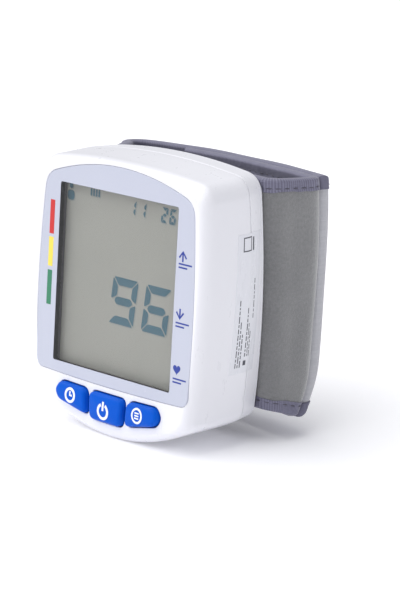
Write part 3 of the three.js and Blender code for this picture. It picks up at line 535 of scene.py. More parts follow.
WHITE = finish("white moulding", (240, 240, 245), (237, 237, 243), 0.27, 0.29, 2600.0, 0.012,
               Coat_Weight=0.15, Coat_Roughness=0.12)
BLUE = finish("blue key", (0, 92, 210), (0, 84, 198), 0.38, 0.44, 2200.0, Specular_IOR_Level=0.1)
SILVER = finish("silver print", (192, 196, 212), (186, 190, 207), 0.20, 0.28, 5200.0, 0.02,
                Coat_Weight=1.0, Coat_Roughness=0.03)
PANE = finish("clear window", (253, 253, 254), (251, 252, 253), 0.0, 0.0, 900.0, 0.0,
              Transmission_Weight=1.0, IOR=1.3)
RUBBER = finish("dark rubber", (52, 52, 56), (42, 42, 46), 0.62, 0.78, 2600.0, 0.2)
REFLECTOR = finish("display reflector", (182, 182, 172), (177, 177, 167), 0.45, 0.50, 4200.0, 0.0)
SEGMENT = finish("display segment", (66, 114, 130), (58, 106, 123), 0.45, 0.50, bump=0.02)
# Painted shadow: a paler grey copy of the reading, shifted down and right, stands for the digits' shadow on
# the reflector.
PAINTED_SEGMENT_SHADOW = finish("segment shadow", (160, 163, 157), (155, 158, 153), 0.45, 0.50, bump=0.02)
RED = finish("red ink", (210, 42, 40), (203, 36, 36))
YELLOW = finish("yellow ink", (249, 226, 92), (244, 218, 82))
GREEN = finish("green ink", (50, 132, 96), (44, 124, 90))
NAVY = finish("blue ink", (34, 60, 156), (28, 52, 146))
WHITE_INK = finish("white ink", (246, 248, 252), (240, 243, 249), 0.35, 0.45)
GREY_INK = finish("grey ink", (78, 80, 90), (66, 68, 78), 0.40, 0.50)
LABEL = finish("label film", (233, 234, 240), (228, 229, 236), 0.22, 0.30, 2400.0, 0.03,
               Coat_Weight=0.4, Coat_Roughness=0.1)
# Painted light and shade: the velvet's light and dark tones are the cloth lit and in shade, mixed by the nap.
VELVET = finish("brushed velvet", (138, 138, 139), (88, 89, 91), 0.90, 1.0, 1.0, 0.6, 0.3, NAP_AND_PAINTED_SHADE,
                Sheen_Weight=1.0, Sheen_Roughness=0.6, Specular_IOR_Level=0.1)
# Painted highlight: a pale pile for the flap's end edge, standing for the bright rim where the velvet catches
# the light.
PILE_PAINTED_HIGHLIGHT = finish("pale pile painted highlight", (206, 206, 210), (178, 178, 184), 0.90, 1.0, 1.0, 0.6, 0.3, NAP_AND_PAINTED_SHADE,
              Sheen_Weight=0.8, Sheen_Roughness=0.4, Specular_IOR_Level=0.1)
# Painted shade in the rib valleys, from the ribbed weave.
LINING = finish("woven lining", (92, 92, 100), (66, 66, 74), 0.70, 0.85, 1.4, 0.45, 0.12, RIBS_AND_PAINTED_SHADE,
                Sheen_Weight=0.15, Specular_IOR_Level=0.25)
# Painted light and shade: the binding's light and dark tones are the tape lit and in shade, mixed by the
# ribs.
BINDING = finish("ribbed binding", (134, 133, 153), (94, 92, 112), 0.55, 0.75, 1.7, 0.35, 0.12, RIBS_AND_PAINTED_SHADE,
                 Sheen_Weight=0.35, Sheen_Roughness=0.4, Specular_IOR_Level=0.3)
# Painted shade in the rib valleys, from the ribbed weave.
LOOP_WEAVE = finish("tape weave", (104, 106, 111), (82, 84, 89), 0.6, 0.75, 1.2, 0.4, 0.1, RIBS_AND_PAINTED_SHADE)
THREAD = finish("sewing thread", (84, 82, 96), (66, 64, 78), 0.55, 0.7, 2400.0, 0.3, Sheen_Weight=0.2)
HOOKS = finish("hook tape", (108, 110, 114), (86, 88, 92), 0.5, 0.65, 2200.0, 0.2)
COPPER = finish("copper film", (196, 142, 92), (180, 128, 80), 0.24, 0.34, 1400.0, 0.05, Metallic=0.7)
STEEL = finish("bright steel", (196, 198, 204), (172, 175, 182), 0.20, 0.36, 2600.0, 0.08, Metallic=1.0)
JACKET = finish("cell jacket", (92, 98, 108), (78, 84, 94), 0.25, 0.36, 1400.0, 0.06, Metallic=0.4)
BLACK = finish("black plastic", (46, 46, 50), (36, 36, 40), 0.42, 0.55, 1900.0, 0.15)
GREY = finish("grey plastic", (200, 203, 209), (190, 193, 200), 0.40, 0.52, 1700.0, 0.12)
BOARD = finish("solder mask", (30, 104, 68), (18, 78, 48), 0.30, 0.45, 900.0, 0.3, 0.08)
SILICONE = finish("silicone tube", (226, 227, 222), (214, 215, 210), 0.35, 0.48, 1500.0, 0.08,
                  Subsurface_Weight=0.2)


# Housing

def taper_at(depth):
    """How far the side walls have drawn in at a depth."""
    return BACK_TAPER * np.clip((depth - TAPER_FROM) / (HOUSING_DEPTH - BACK_ROUND - TAPER_FROM), 0, 1)


def body_ring(inset, depth):
    size = dict(BODY, **{key: BODY[key] - taper_at(depth) for key in ("half", "shoulder_half", "hip_half")})
    return from_housing(at_depth(bowed_outline(size, inset), depth))


def front_rings():
    """Leaning front face, its rounded edge and the walls as far as they are straight."""
    face, body = bowed_outline(FACE), bowed_outline(BODY)
    rings = [from_face(at_depth(face + (body - face) * sine, EDGE_DEPTH * (1 - cosine)))
             for sine, cosine in quarter_turn(EDGE_STEPS)]
    wall = body_ring(0.0, TAPER_FROM) - rings[-1]
    return rings + [rings[-1] + wall * share for share in (0.25, 0.5, 0.75, 1.0)]


def back_rings(start):
    """Tapered wall behind the start depth, a fine groove, and the rounded back edge."""
    straight = HOUSING_DEPTH - BACK_ROUND
    rings = [body_ring(0.0, depth) for depth in np.linspace(start, straight, 4)[1:-1]]
    rings += [body_ring(inset, straight - ahead) for inset, ahead in BACK_GROOVE]
    return rings + [body_ring(BACK_ROUND * (1 - cosine), HOUSING_DEPTH - BACK_ROUND * (1 - sine))
                    for sine, cosine in quarter_turn(BACK_STEPS)]


def skin(rings):
    """Solid over rings, kept above the flat foot that the housing stands on."""
    for ring in rings:
        ring[:, 2] = np.maximum(ring[:, 2], 0.0)
    return cutter(rings)


def hollow():
    """Space inside the housing's walls."""
    deep = HOUSING_DEPTH - WALL
    return cutter([
        from_face(at_depth(bowed_outline(BODY, WALL + HOLLOW_STEP), FRONT_WALL)),
        from_face(at_depth(bowed_outline(BODY, WALL), FRONT_WALL + HOLLOW_STEP)),
        body_ring(WALL, TAPER_FROM),
        body_ring(WALL, deep - HOLLOW_STEP),
        body_ring(WALL + HOLLOW_STEP, deep),
    ])


def door_space(gap):
    low = (-2 * BODY["half"], DOOR_FRONT + gap, gap - DOOR_HALF)
    return block(low, (DOOR_X, DOOR_BACK - gap, DOOR_HALF - gap))


def mouth(outline_at, floor, lip):
    """Cutter for a pocket or hole in the face with a softened edge, from its outline at each growth."""
    wide, deep = MOUTH_BEND
    steps = [(FIT + lip, -CLEAR), (FIT + lip, 0.0), (FIT + wide * lip, deep * lip), (FIT, lip), (FIT, floor)]
    return cutter([from_face(at_depth(outline_at(growth), depth)) for growth, depth in steps])


def key_outline(corners, growth=0.0):
    return grown(rounded(corners, KEY_ROUND), growth - KEY_EASE)


def front_shell():
    """Front case: skin with the lens pocket, the window, the key holes and half of the battery opening."""
    lip = [body_ring(inset, PARTING - back) for inset, back in PARTING_LIP]
    pocket = mouth(lambda growth: bowed_outline(LENS, -growth), LENS_THICK + FIT, LENS_LIP)
    window = hole(rounded(rectangle(*APERTURE), GASKET_WIDTH + FIT), LENS_THICK / 2, 2 * FRONT_WALL)
    made = cut(skin(front_rings() + lip), "DIFFERENCE", hollow(), pocket, window)
    for corners in KEYS.values():
        cut(made, "DIFFERENCE", mouth(lambda growth: key_outline(corners, growth), 2 * FRONT_WALL, KEY_LIP))
    return creased(cut(made, "DIFFERENCE", door_space(0.0)))


def tongue():
    """Locating rim of the rear cover, which closes the parting gap from inside."""
    front = PARTING + SEAM_GAP
    ahead, behind = front - TONGUE_REACH, front + TONGUE_REACH
    seat, outer, inner = WALL - FIT, WALL + FIT, WALL + FIT + TONGUE_THICK
    profile = [(outer, ahead), (outer, front), (seat, front), (seat, behind), (inner, behind), (inner, ahead)]
    rings = [body_ring(inset, depth) for inset, depth in profile]
    _, faces = loft(rings + rings[:1], False)
    points = np.concatenate(rings)
    return outward(made_mesh("tongue", points, [tuple(i % len(points) for i in face) for face in faces]))


def rear_shell():
    """Rear cover: back half of the skin with its locating rim."""
    front = PARTING + SEAM_GAP
    lip = [body_ring(inset, front + back) for inset, back in reversed(PARTING_LIP)]
    made = cut(skin(lip + back_rings(front + PARTING_LIP[0][1])), "DIFFERENCE", hollow(), door_space(0.0))
    beside_cells = block((-2 * BODY["half"], 0.0, -DOOR_HALF), (0.0, 2 * HOUSING_DEPTH, DOOR_HALF))
    return creased(cut(made, "UNION", cut(tongue(), "DIFFERENCE", beside_cells)))


def battery_lid():
    """Battery cover: the piece of the wall that fills the opening, with softened edges."""
    made = cut(skin(front_rings() + back_rings(TAPER_FROM)), "DIFFERENCE", hollow())
    cut(made, "INTERSECT", door_space(FIT))
    soft = made.modifiers.new("soft edges", "BEVEL")
    soft.width, soft.segments = LID_EDGE * MM, LID_EDGE_STEPS
    soft.limit_method, soft.angle_limit = "ANGLE", math.radians(LID_SHARP)
    return creased(settled(made))


placed(front_shell(), "front_shell", "housing", "white_case", [WHITE], "front_case")
placed(rear_shell(), "rear_shell", "housing", "white_case", [WHITE], "rear_cover")
placed(battery_lid(), "battery_lid", "battery_door", "white_case", [WHITE], "battery_cover")


# Printing: thin closed shapes laid on a surface of the face frame

INK = 0.035


def patch(outline, front, back):
    """Filled shape between two depths."""
    n = len(outline)
    points = np.concatenate([at_depth(outline, front), at_depth(outline, back)])
    sides = [(i, n + i, n + (i + 1) % n, (i + 1) % n) for i in range(n)]
    return points, [tuple(range(n)), tuple(reversed(range(n, 2 * n)))] + sides


def stroke(path, width, front, back, closed=False):
    """Line of even width between two depths."""
    path = np.asarray(path, float)
    ahead, behind = np.roll(path, -1, 0) - path, path - np.roll(path, 1, 0)
    if not closed:
        ahead[-1], behind[0] = behind[-1], ahead[0]
    side = beside(unit(unit(ahead) + unit(behind))) * width / 2
    flat = np.concatenate([path + side, path - side])
    points = np.concatenate([at_depth(flat, front), at_depth(flat, back)])
    n, faces = len(path), []
    for i in range(n if closed else n - 1):
        j = (i + 1) % n
        faces += [(i, j, n + j, n + i), (3 * n + i, 3 * n + j, 2 * n + j, 2 * n + i),
                  (i, 2 * n + i, 2 * n + j, j), (n + j, 3 * n + j, 3 * n + i, n + i)]
    if not closed:
        e = n - 1
        faces += [(n, 3 * n, 2 * n, 0), (e, 2 * n + e, 3 * n + e, n + e)]
    return points, faces


def arc(x, z, radius, start, end, steps=40):
    turn = np.radians(np.linspace(start, end, steps + 1))
    return np.stack([x + radius * np.cos(turn), z + radius * np.sin(turn)], 1)


def ring(x, z, radius, steps=48):
    return arc(x, z, radius, 0, 360, steps)[:-1]


def printed(name, parts, body, slot, ink):
    """Flat-shaded piece made of thin shapes."""
    points, faces = joined(parts)
    made = made_mesh(name, from_face(points), faces)
    shade(made.data, False)
    return placed(made, name, body, slot, [ink])


# Lens and display

def flat_plate(name, half, corner, front, back, edge):
    return creased(made_mesh(name, *rounded_plate(rounded(rectangle(*half), corner), front, back, edge, 3)))


def lens_border():
    """Lens with its printed border, cut out where it is clear."""
    outline = bowed_outline(LENS, LENS_GAP - FIT)
    made = made_mesh("lens", *rounded_plate(outline, 0.0, LENS_THICK, LENS_EDGE))
    window = rounded(rectangle(*WINDOW), WINDOW_ROUND)
    return creased(cut(made, "DIFFERENCE", hole(window, -CLEAR, 2 * LENS_THICK)))


def window_pane():
    """Clear part of the lens, with dark edges that show no light from the side."""
    half = [size - PANE_GAP for size in WINDOW]
    made = flat_plate("pane", half, WINDOW_ROUND - PANE_GAP, 0.0, LENS_THICK, PANE_EDGE)
    facing = Vector((0.0, math.cos(LEAN), -math.sin(LEAN)))
    for ink in (PANE, RUBBER):
        made.data.materials.append(ink)
    for face in made.data.polygons:
        face.material_index = int(abs(face.normal.dot(facing)) < PANE_FACING)
    return made


def gasket():
    """Dark frame between the lens and the display."""
    outer = [inner + GASKET_WIDTH for inner in GASKET_INNER]
    made = flat_plate("gasket", outer, GASKET_WIDTH, GASKET_FRONT, GASKET_BACK, GASKET_EDGE)
    bore = rounded(rectangle(*GASKET_INNER), GASKET_ROUND)
    return creased(cut(made, "DIFFERENCE", hole(bore, 0.0, 2 * GASKET_BACK)))


placed(lens_border(), "lens_border", "housing", "lens", [SILVER], "display_lens")
placed(window_pane(), "lens_window", "housing", "lens", None)
placed(gasket(), "window_gasket", "housing", "gasket", [RUBBER], "display_gasket")
placed(flat_plate("glass", GLASS, GLASS_ROUND, GLASS_FRONT, GLASS_BACK, GLASS_EDGE),
       "display_panel", "housing", "display", [REFLECTOR], "display_glass")


# Reading on the display: plain numbers of slanted bars, each with a painted shadow on the reflector

BARS_OF = {"1": "bc", "2": "abdeg", "6": "acdefg", "9": "abcdfg"}
SLANT, BAR_ROUND = 0.12, 0.3
SHADOW_SHIFT, SHADOW_INK = (0.4, -0.35), 0.4 * INK
LARGE = dict(z=-11.2, width=10.3, tall=13.0, thick=2.2, gap=0.2)
SMALL = dict(z=19.3, width=2.5, tall=4.2, thick=0.8, gap=0.08)
DIGITS = (("9", -5.1, LARGE), ("6", 8.5, LARGE), ("1", 1.3, SMALL), ("1", 5.4, SMALL), ("2", 14.3, SMALL),
          ("6", 17.6, SMALL))
PERSON_X, HEAD_Z, HEAD_RADIUS = -23.2, 23.8, 0.8
TRUNK_Z, TRUNK_HALF, TRUNK_ROUND = 21.2, (1.5, 1.35), 1.1
ALARM_X, ALARM_Z, ALARM_HALF, ALARM_ROUND = (-14.6, -13.5, -12.4, -11.3), 23.2, (0.36, 1.0), 0.15


def bars(digit, x, z, width, tall, thick, gap):
    """Outlines of the bars that show a digit, whose lower left corner is given."""
    half, s, g = tall / 2, thick, gap
    shapes = {
        "a": [(s + g, tall - s), (width - s - g, tall - s), (width - g, tall), (g, tall)],
        "b": [(width - s, half + s / 2 + g), (width, half + g), (width, tall - g), (width - s, tall - s - g)],
        "c": [(width - s, s + g), (width, g), (width, half - g), (width - s, half - s / 2 - g)],
        "d": [(g, 0), (width - g, 0), (width - s - g, s), (s + g, s)],
        "e": [(0, g), (s, s + g), (s, half - s / 2 - g), (0, half - g)],
        "f": [(0, half + g), (s, half + s / 2 + g), (s, tall - s - g), (0, tall - g)],
        "g": [(s / 2 + g, half), (s + g, half - s / 2), (width - s - g, half - s / 2),
              (width - s / 2 - g, half), (width - s - g, half + s / 2), (s + g, half + s / 2)],
    }
    outlines = []
    for bar in BARS_OF[digit]:
        shape = rounded(shapes[bar], BAR_ROUND * s, 4)
        outlines.append(shape + (x, z) + np.outer(shape[:, 1], (SLANT, 0.0)))
    return outlines


def reading():
    """Outlines of the digits, a person and an alarm of four strokes."""
    outlines = [shape for digit, x, size in DIGITS for shape in bars(digit, x, **size)]
    trunk = rounded(rectangle(*TRUNK_HALF, PERSON_X, TRUNK_Z), TRUNK_ROUND, 5)
    person = [ring(PERSON_X, HEAD_Z, HEAD_RADIUS, 20), trunk]
    alarm = [rounded(rectangle(*ALARM_HALF, x, ALARM_Z), ALARM_ROUND, 3) for x in ALARM_X]
    return outlines + person + alarm


def on_glass(shift, thick):
    return [patch(shape + shift, GLASS_FRONT - thick, GLASS_FRONT) for shape in reading()]


# Painted shadow of the reading, laid as thin grey print on the reflector.
printed("display_shadows", on_glass(SHADOW_SHIFT, SHADOW_INK), "housing", "display", PAINTED_SEGMENT_SHADOW)
printed("display_numbers", on_glass((0.0, 0.0), INK), "housing", "display", SEGMENT)


# Colour scale at the left of the window and plain signs at its right

SCALE_X, SCALE_HALF, SCALE_ROUND = -27.45, 0.95, 0.12
SCALE = (("red", 9.9, 19.4, RED), ("yellow", 0.8, 9.0, YELLOW), ("green", -10.0, -0.3, GREEN))
SIGN_X, SIGN_LINE = 27.0, 0.55
ARROWS = ((12.3, 1.0), (-3.2, -1.0))
ARROW_SHAPE = (((-1.4, -0.5), (0, 1.2), (1.4, -0.5)), ((0, 0.9), (0, -1.5)))
HEART = (26.9, -18.3, 2.9)
RULES_X, RULES_LINE, RULES_STEP, RULES_REACH = 25.5, 0.42, 0.95, (5.2, 3.4)
RULES_AT = (10.2, -5.6, -20.7)

for colour, low, high, ink in SCALE:
    bar = rounded(rectangle(SCALE_HALF, (high - low) / 2, SCALE_X, (high + low) / 2), SCALE_ROUND, 3)
    printed("scale_" + colour, [patch(bar, -INK, 0.0)], "housing", "lens", ink)


def heart(x, z, size):
    turn = np.linspace(0, 2 * math.pi, 41)[:-1]
    wide = 16 * np.sin(turn) ** 3
    tall = 13 * np.cos(turn) - 5 * np.cos(2 * turn) - 2 * np.cos(3 * turn) - np.cos(4 * turn)
    return np.stack([x + wide * size / 32, z + (tall + 2) * size / 32], 1)[::-1]


def signs():
    """Up arrow, down arrow and heart, each with two short rules below."""
    lines = []
    for z, rise in ARROWS:
        for shape in ARROW_SHAPE:
            lines.append(([(SIGN_X + x, z + k * rise) for x, k in shape], SIGN_LINE))
    for z in RULES_AT:
        for k, reach in enumerate(RULES_REACH):
            level = z - RULES_STEP * k
            lines.append(([(RULES_X, level), (RULES_X + reach, level)], RULES_LINE))
    return [patch(heart(*HEART), -INK, 0.0)] + [stroke(path, width, -INK, 0.0) for path, width in lines]


printed("lens_signs", signs(), "housing", "lens", NAVY)


# Keys: pillowed caps with white signs that follow their crown

KEY_SIGN_AT = {"clock": (-14.1, -33.1), "power": (0.0, -34.9), "memory": (14.0, -33.2)}
CLOCK_RING, CLOCK_LINE = 1.8, 0.75
CLOCK_HANDS, HANDS_LINE = [(0.0, 1.1), (0.0, 0.0), (0.85, 0.0)], 0.6
POWER_RING, POWER_TURN, POWER_LINE = 1.95, (116, 424), 0.8
POWER_STEM, STEM_LINE = [(0.0, 2.75), (0.0, 1.6), (0.0, 0.2)], 0.75
MEMORY_RING, MEMORY_LINE = 1.9, 0.6
MEMORY_RULES, MEMORY_REACH, MEMORY_RULE = (0.72, 0.0, -0.72), (-0.85, 0.0, 0.85), 0.4


def key_crown(corners):
    """Depth of a key's pillowed front as a function of place."""
    low, high = np.min(corners, 0), np.max(corners, 0)
    middle, half = (high + low) / 2, (high - low) / 2

    def crown(x, z):
        return -KEY_PROUD + KEY_BOW * (((x - middle[0]) / half[0]) ** 2 + ((z - middle[1]) / half[1]) ** 2)
    return crown


def key_cap(corners):
    outline, crown = key_outline(corners), key_crown(corners)
    top = grown(outline, -KEY_EDGE)
    middle = top.mean(0)
    shares = np.linspace(CROWN_START, 1.0, CROWN_STEPS)
    rings = [at_depth(middle + (top - middle) * share, crown) for share in shares]
    rim = rings[-1][:, 1]
    rings += [at_depth(grown(outline, -KEY_EDGE * (1 - sine)), rim + KEY_EDGE * (1 - cosine))
              for sine, cosine in quarter_turn(KEY_EDGE_STEPS, 1)]
    rings += [at_depth(outline, depth) for depth in (KEY_SKIRT, KEY_BACK)]
    return creased(made_mesh("key", *loft([from_face(some) for some in rings])), KEY_CREASE)


def key_signs(key):
    """Lines of a key's sign: path, width and whether it closes."""
    x, z = KEY_SIGN_AT[key]

    def moved(path):
        return [(x + across, z + rise) for across, rise in path]
    if key == "clock":
        return [(ring(x, z, CLOCK_RING), CLOCK_LINE, True), (moved(CLOCK_HANDS), HANDS_LINE, False)]
    if key == "power":
        turn = arc(x, z, POWER_RING, *POWER_TURN)
        return [(turn, POWER_LINE, False), (moved(POWER_STEM), STEM_LINE, False)]
    rules = [moved([(across, rise) for across in MEMORY_REACH]) for rise in MEMORY_RULES]
    return [(ring(x, z, MEMORY_RING), MEMORY_LINE, True)] + [(rule, MEMORY_RULE, False) for rule in rules]


for key, corners in KEYS.items():
    placed(key_cap(corners), "cap_" + key, key + "_key", "blue_key", [BLUE], "key_" + key)
    crown = key_crown(corners)
    marks = [stroke(path, width, lambda x, z: crown(x, z) - INK, lambda x, z: crown(x, z) + INK, closed)
             for path, width, closed in key_signs(key)]
    printed("sign_" + key, marks, key + "_key", "blue_key", WHITE_INK)


# Label film on the right wall, with plain dashes, blocks and a frame

LABEL_DEPTH, LABEL_RISE, LABEL_SLANT = (12.2, 21.9), (-20.7, 17.4), 0.055
LABEL_STEPS, PRINT_STEPS, PRINT_STEP = (16, 30), 3, 0.3
FILM, PRINT = 0.05, 0.02
RULE, DASH_GAP, DASHES = 0.3, 0.4, (1.3, 0.8, 1.9, 1.0, 0.6, 1.5)
DASHED_ROWS = [(1.7, -19.0, 18.5), (2.5, -19.0, 11.5), (3.3, -19.0, 8.5), (4.8, -16.2, 12.5),
               (5.6, -16.2, 8.5), (6.4, -16.2, 6.0), (7.3, -6.0, 10.0)]
BLOCKS = [(4.6, 0.95, -18.6, 1.3), (5.9, 0.6, 12.6, 3.6)]
FRAME_LOW, FRAME_SIZE = (2.0, 12.6), (3.0, 3.6)


def right_wall(depth, z):
    """How far right the housing's wall stands at a depth and height of the housing frame."""
    share = (z + BODY["hip"]) / (BODY["shoulder"] + BODY["hip"])
    start, end = BODY["hip_half"], BODY["shoulder_half"]
    control = 2 * BODY["half"] - (start + end) / 2
    side = (1 - share) ** 2 * start + 2 * share * (1 - share) * control + share ** 2 * end
    return side - taper_at(depth)


def wall_film(depths, rises, lift, thick, steps):
    """Thin film on the right wall between two depths and heights, slanted as the leaning face is."""
    across, up = steps
    depth, z = np.meshgrid(np.linspace(*depths, across + 1), np.linspace(*rises, up + 1))
    depth = depth + (z - sum(LABEL_RISE) / 2) * LABEL_SLANT
    layers = [np.stack([right_wall(depth, z) + out, depth, z], 2).reshape(-1, 3)
              for out in (lift + thick, lift)]
    spots = np.arange(depth.size).reshape(depth.shape)
    faces = []
    for j in range(up):
        for i in range(across):
            quad = (spots[j, i], spots[j, i + 1], spots[j + 1, i + 1], spots[j + 1, i])
            faces += [quad, tuple(depth.size + k for k in reversed(quad))]
    rim = [*spots[0], *spots[1:, -1], *spots[-1, -2::-1], *spots[-2:0:-1, 0]]
    faces += [(a, depth.size + a, depth.size + b, b) for a, b in zip(rim, rim[1:] + rim[:1])]
    return from_housing(np.concatenate(layers)), faces


def label_print():
    """Marks of the label: depth behind its front edge, width, lowest point and length of each."""
    marks = []
    for row, (depth, low, length) in enumerate(DASHED_ROWS):
        at, turn = low, row
        while at < low + length:
            dash = DASHES[turn % len(DASHES)]
            marks.append((depth, RULE, at, dash))
            at, turn = at + dash + DASH_GAP, turn + 1
    (depth, low), (wide, tall) = FRAME_LOW, FRAME_SIZE
    marks += BLOCKS + [(depth, RULE, low, tall), (depth + wide, RULE, low, tall), (depth, wide, low, RULE),
                       (depth, wide + RULE, low + tall, RULE)]
    parts = []
    for depth, width, low, length in marks:
        start, steps = LABEL_DEPTH[0] + depth, (1 + int(width / PRINT_STEP), PRINT_STEPS)
        parts.append(wall_film((start, start + width), (low, low + length), FILM, PRINT, steps))
    return joined(parts)


label = wall_film(LABEL_DEPTH, LABEL_RISE, 0.0, FILM, LABEL_STEPS)
placed(creased(made_mesh("label", *label)), "wall_label", "housing", "white_case", [LABEL])
placed(creased(made_mesh("print", *label_print())), "label_print", "housing", "white_case", [GREY_INK])


# Plan and edges of the cuff

def back_bow(x):
    drop, end = (DROP_RIGHT, CUFF_RIGHT) if x > CREST_X else (DROP_LEFT, -CUFF_LEFT)
    return CREST_Y - drop * ((x - CREST_X) / (end - CREST_X)) ** 2


def inner_bow(x):
    return back_bow(x) - LAYER_STEP


def smooth_path(points):
    """Centripetal curve through plan points: even points, their directions and the lengths so far."""
    points = np.asarray(points, float)
    points = np.concatenate([[2 * points[0] - points[1]], points, [2 * points[-1] - points[-2]]])
    t = np.linspace(0, 1, CURVE_STEPS + 1)[:-1, None]
    dense = []
    for a, b, c, d in zip(points, points[1:], points[2:], points[3:]):
        g0, g1, g2 = (math.sqrt(np.linalg.norm(q - p)) for p, q in ((a, b), (b, c), (c, d)))
        leave = ((b - a) / g0 - (c - a) / (g0 + g1) + (c - b) / g1) * g1
        reach = ((c - b) / g1 - (d - b) / (g1 + g2) + (d - c) / g2) * g1
        square, cube = 3 * (c - b) - 2 * leave - reach, 2 * (b - c) + leave + reach
        dense.append(b + leave * t + square * t ** 2 + cube * t ** 3)
    dense = np.concatenate(dense + [points[-2:-1]])
    run = np.concatenate([[0], np.cumsum(np.linalg.norm(np.diff(dense, axis=0), axis=1))])
    even = np.linspace(0, run[-1], int(run[-1] / PATH_STEP) + 1)
    spots = np.stack([np.interp(even, run, dense[:, k]) for k in (0, 1)], 1)
    return spots, unit(np.gradient(spots, axis=0)), even


def main_plan():
    """Plan of the panel behind the housing, the right arm and the layer under the flap."""
    corner_y = inner_bow(CUFF_RIGHT) + LAYER_STEP - CLOTH - 2 * BINDING_PROUD - FIT
    corner_x = CUFF_RIGHT - 0.75 * ARM_BEND
    bend = [(BASE_HALF + FIT, BASE_Y), (BASE_HALF + 0.4 * ARM_BEND, BASE_Y),
            (BASE_HALF + ARM_BEND, BASE_Y + ARM_BEND / 2),
            (CUFF_RIGHT - ARM_BEND / 5, BASE_Y + 1.6 * ARM_BEND), (CUFF_RIGHT, corner_y - ARM_BEND / 2),
            (CUFF_RIGHT - ARM_BEND / 5, corner_y - ARM_BEND / 10), (corner_x, inner_bow(corner_x))]
    layer = [(x, inner_bow(x)) for x in np.linspace(CUFF_RIGHT - 2.4 * ARM_BEND, INNER_LAYER_END, 6)]
    return [(x, BASE_Y) for x in np.linspace(-BASE_HALF, BASE_HALF, 4)] + bend + layer


def flap_plan():
    """Plan of the left panel and of the closing flap that goes on from it."""
    bend = np.array((-BASE_HALF - 0.6 * FLAP_BEND, BASE_Y + FLAP_BEND / 4))
    joint = np.array((-CUFF_LEFT, FLAP_JOINT))
    panel = [(-BASE_HALF - FIT, BASE_Y), (-BASE_HALF - FLAP_BEND / 4, BASE_Y)]
    panel += [bend + (joint - bend) * share for share in (0.0, 0.35, 0.7)]
    turn = [(1 / 6, -1 / 2), (0, -1 / 8), (0, 0), (0, 1 / 6), (1 / 8, 1 / 2), (1 / 2, 0.95)]
    panel += [joint + FLAP_BEND * np.array(share) for share in turn]
    flap = [(x, back_bow(x)) for x in np.linspace(1.6 * FLAP_BEND - CUFF_LEFT, CUFF_RIGHT - FLAP_BEND, 8)]
    return panel + flap + [(CUFF_RIGHT, back_bow(CUFF_RIGHT) - FIT)]


def lean_at(y, z):
    """How far the cuff's back leans, bulges and curls at a height, while its base stays upright."""
    share = np.clip((y - BASE_Y) / (FLAP_JOINT - BASE_Y), 0, 1)
    middle, half = (CUFF_TOP - CUFF_BOTTOM) / 2, (CUFF_TOP + CUFF_BOTTOM) / 2
    bulge = BULGE * (1 - ((z - middle) / half) ** 2)
    top_curl = TOP_CURL * np.clip((z - CUFF_TOP) / CURL_REACH[0] + 1, 0, 1) ** 2
    low_curl = LOW_CURL * np.clip((-CUFF_BOTTOM - z) / CURL_REACH[1] + 1, 0, LOW_CURL_PAST) ** 2
    return share * ((z - middle) * math.tan(LEAN) + bulge - top_curl - low_curl)


def cuff_edge(y):
    """Heights of the cuff's top and bottom edges, which droop towards the back."""
    droop = (y - BASE_Y) / (CREST_Y - BASE_Y)
    return CUFF_TOP - CUFF_TOP_DROP * droop, -CUFF_BOTTOM - CUFF_BOTTOM_DROP * droop


def ripple(run, height, seed, *waves):
    """Slow unevenness of hand-sewn cloth: a few waves of given length, height and size, with set phases."""
    total = np.zeros(np.broadcast(run, height).shape)
    for k, (length, tall, size) in enumerate(waves):
        total += size * np.sin(2 * math.pi * (run / length + height / tall) + WAVE_PHASE * k + seed)
    return total


# Repeated small parts, made with geometry nodes

STITCH_UNEVEN, STITCH_SEED = (0.85, 1.15), 7
HOOK_SWEEP, HOOK_TWIST, HOOK_SEED = math.radians(220), 0.35, 11


def new_maker(name, **inputs):
    """Geometry tree with a geometry input and output and the given named inputs."""
    named = {key.replace("_", " "): kind for key, kind in inputs.items()}
    shape = {"Geometry": "Geometry"}
    return new_tree(name, "GeometryNodeTree", {**shape, **named, "Finish": "Material"}, shape)


def uneven(tree, low, high, seed):
    """Random number for each copy; the number sockets come third and fourth."""
    return add(tree, "FunctionNodeRandomValue", {2: low, 3: high, "Seed": seed}, data_type="FLOAT").outputs[1]


def maker_of(tree, source, **copies):
    """Last nodes of every tree: copies on points, made real, shaded smooth, with their finish."""
    laid = add(tree, "GeometryNodeInstanceOnPoints", copies).outputs[0]
    real = add(tree, "GeometryNodeRealizeInstances", {"Geometry": laid}).outputs[0]
    smooth = add(tree, "GeometryNodeSetShadeSmooth", {"Geometry": real}).outputs[0]
    done = add(tree, "GeometryNodeSetMaterial", {"Geometry": smooth, "Material": source["Finish"]}).outputs[0]
    add(tree, "NodeGroupOutput", {"Geometry": done})
    return tree


def bead(tree, segments, rings):
    inputs = {"Segments": segments, "Rings": rings, "Radius": 1.0}
    return add(tree, "GeometryNodeMeshUVSphere", inputs).outputs[0]


def stitch_maker():
    """Thread stitches laid end to end along a line."""
    tree, source = new_maker("sewn stitches", Pitch="Float", Length="Float", Thread="Float")
    line = add(tree, "GeometryNodeMeshToCurve", {"Mesh": source["Geometry"]}).outputs[0]
    inputs = {"Curve": line, "Length": source["Pitch"]}
    points = add(tree, "GeometryNodeResampleCurve", inputs, mode="LENGTH").outputs[0]
    tangent = add(tree, "GeometryNodeInputTangent").outputs[0]
    turn = add(tree, "FunctionNodeAlignRotationToVector", {"Vector": tangent}, axis="Z").outputs[0]
    half = math_node(tree, "MULTIPLY", source["Length"], 0.5)
    long = math_node(tree, "MULTIPLY", half, uneven(tree, *STITCH_UNEVEN, STITCH_SEED))
    size = combined(tree, X=source["Thread"], Y=source["Thread"], Z=long)
    return maker_of(tree, source, Points=points, Instance=bead(tree, 8, 6), Rotation=turn, Scale=size)


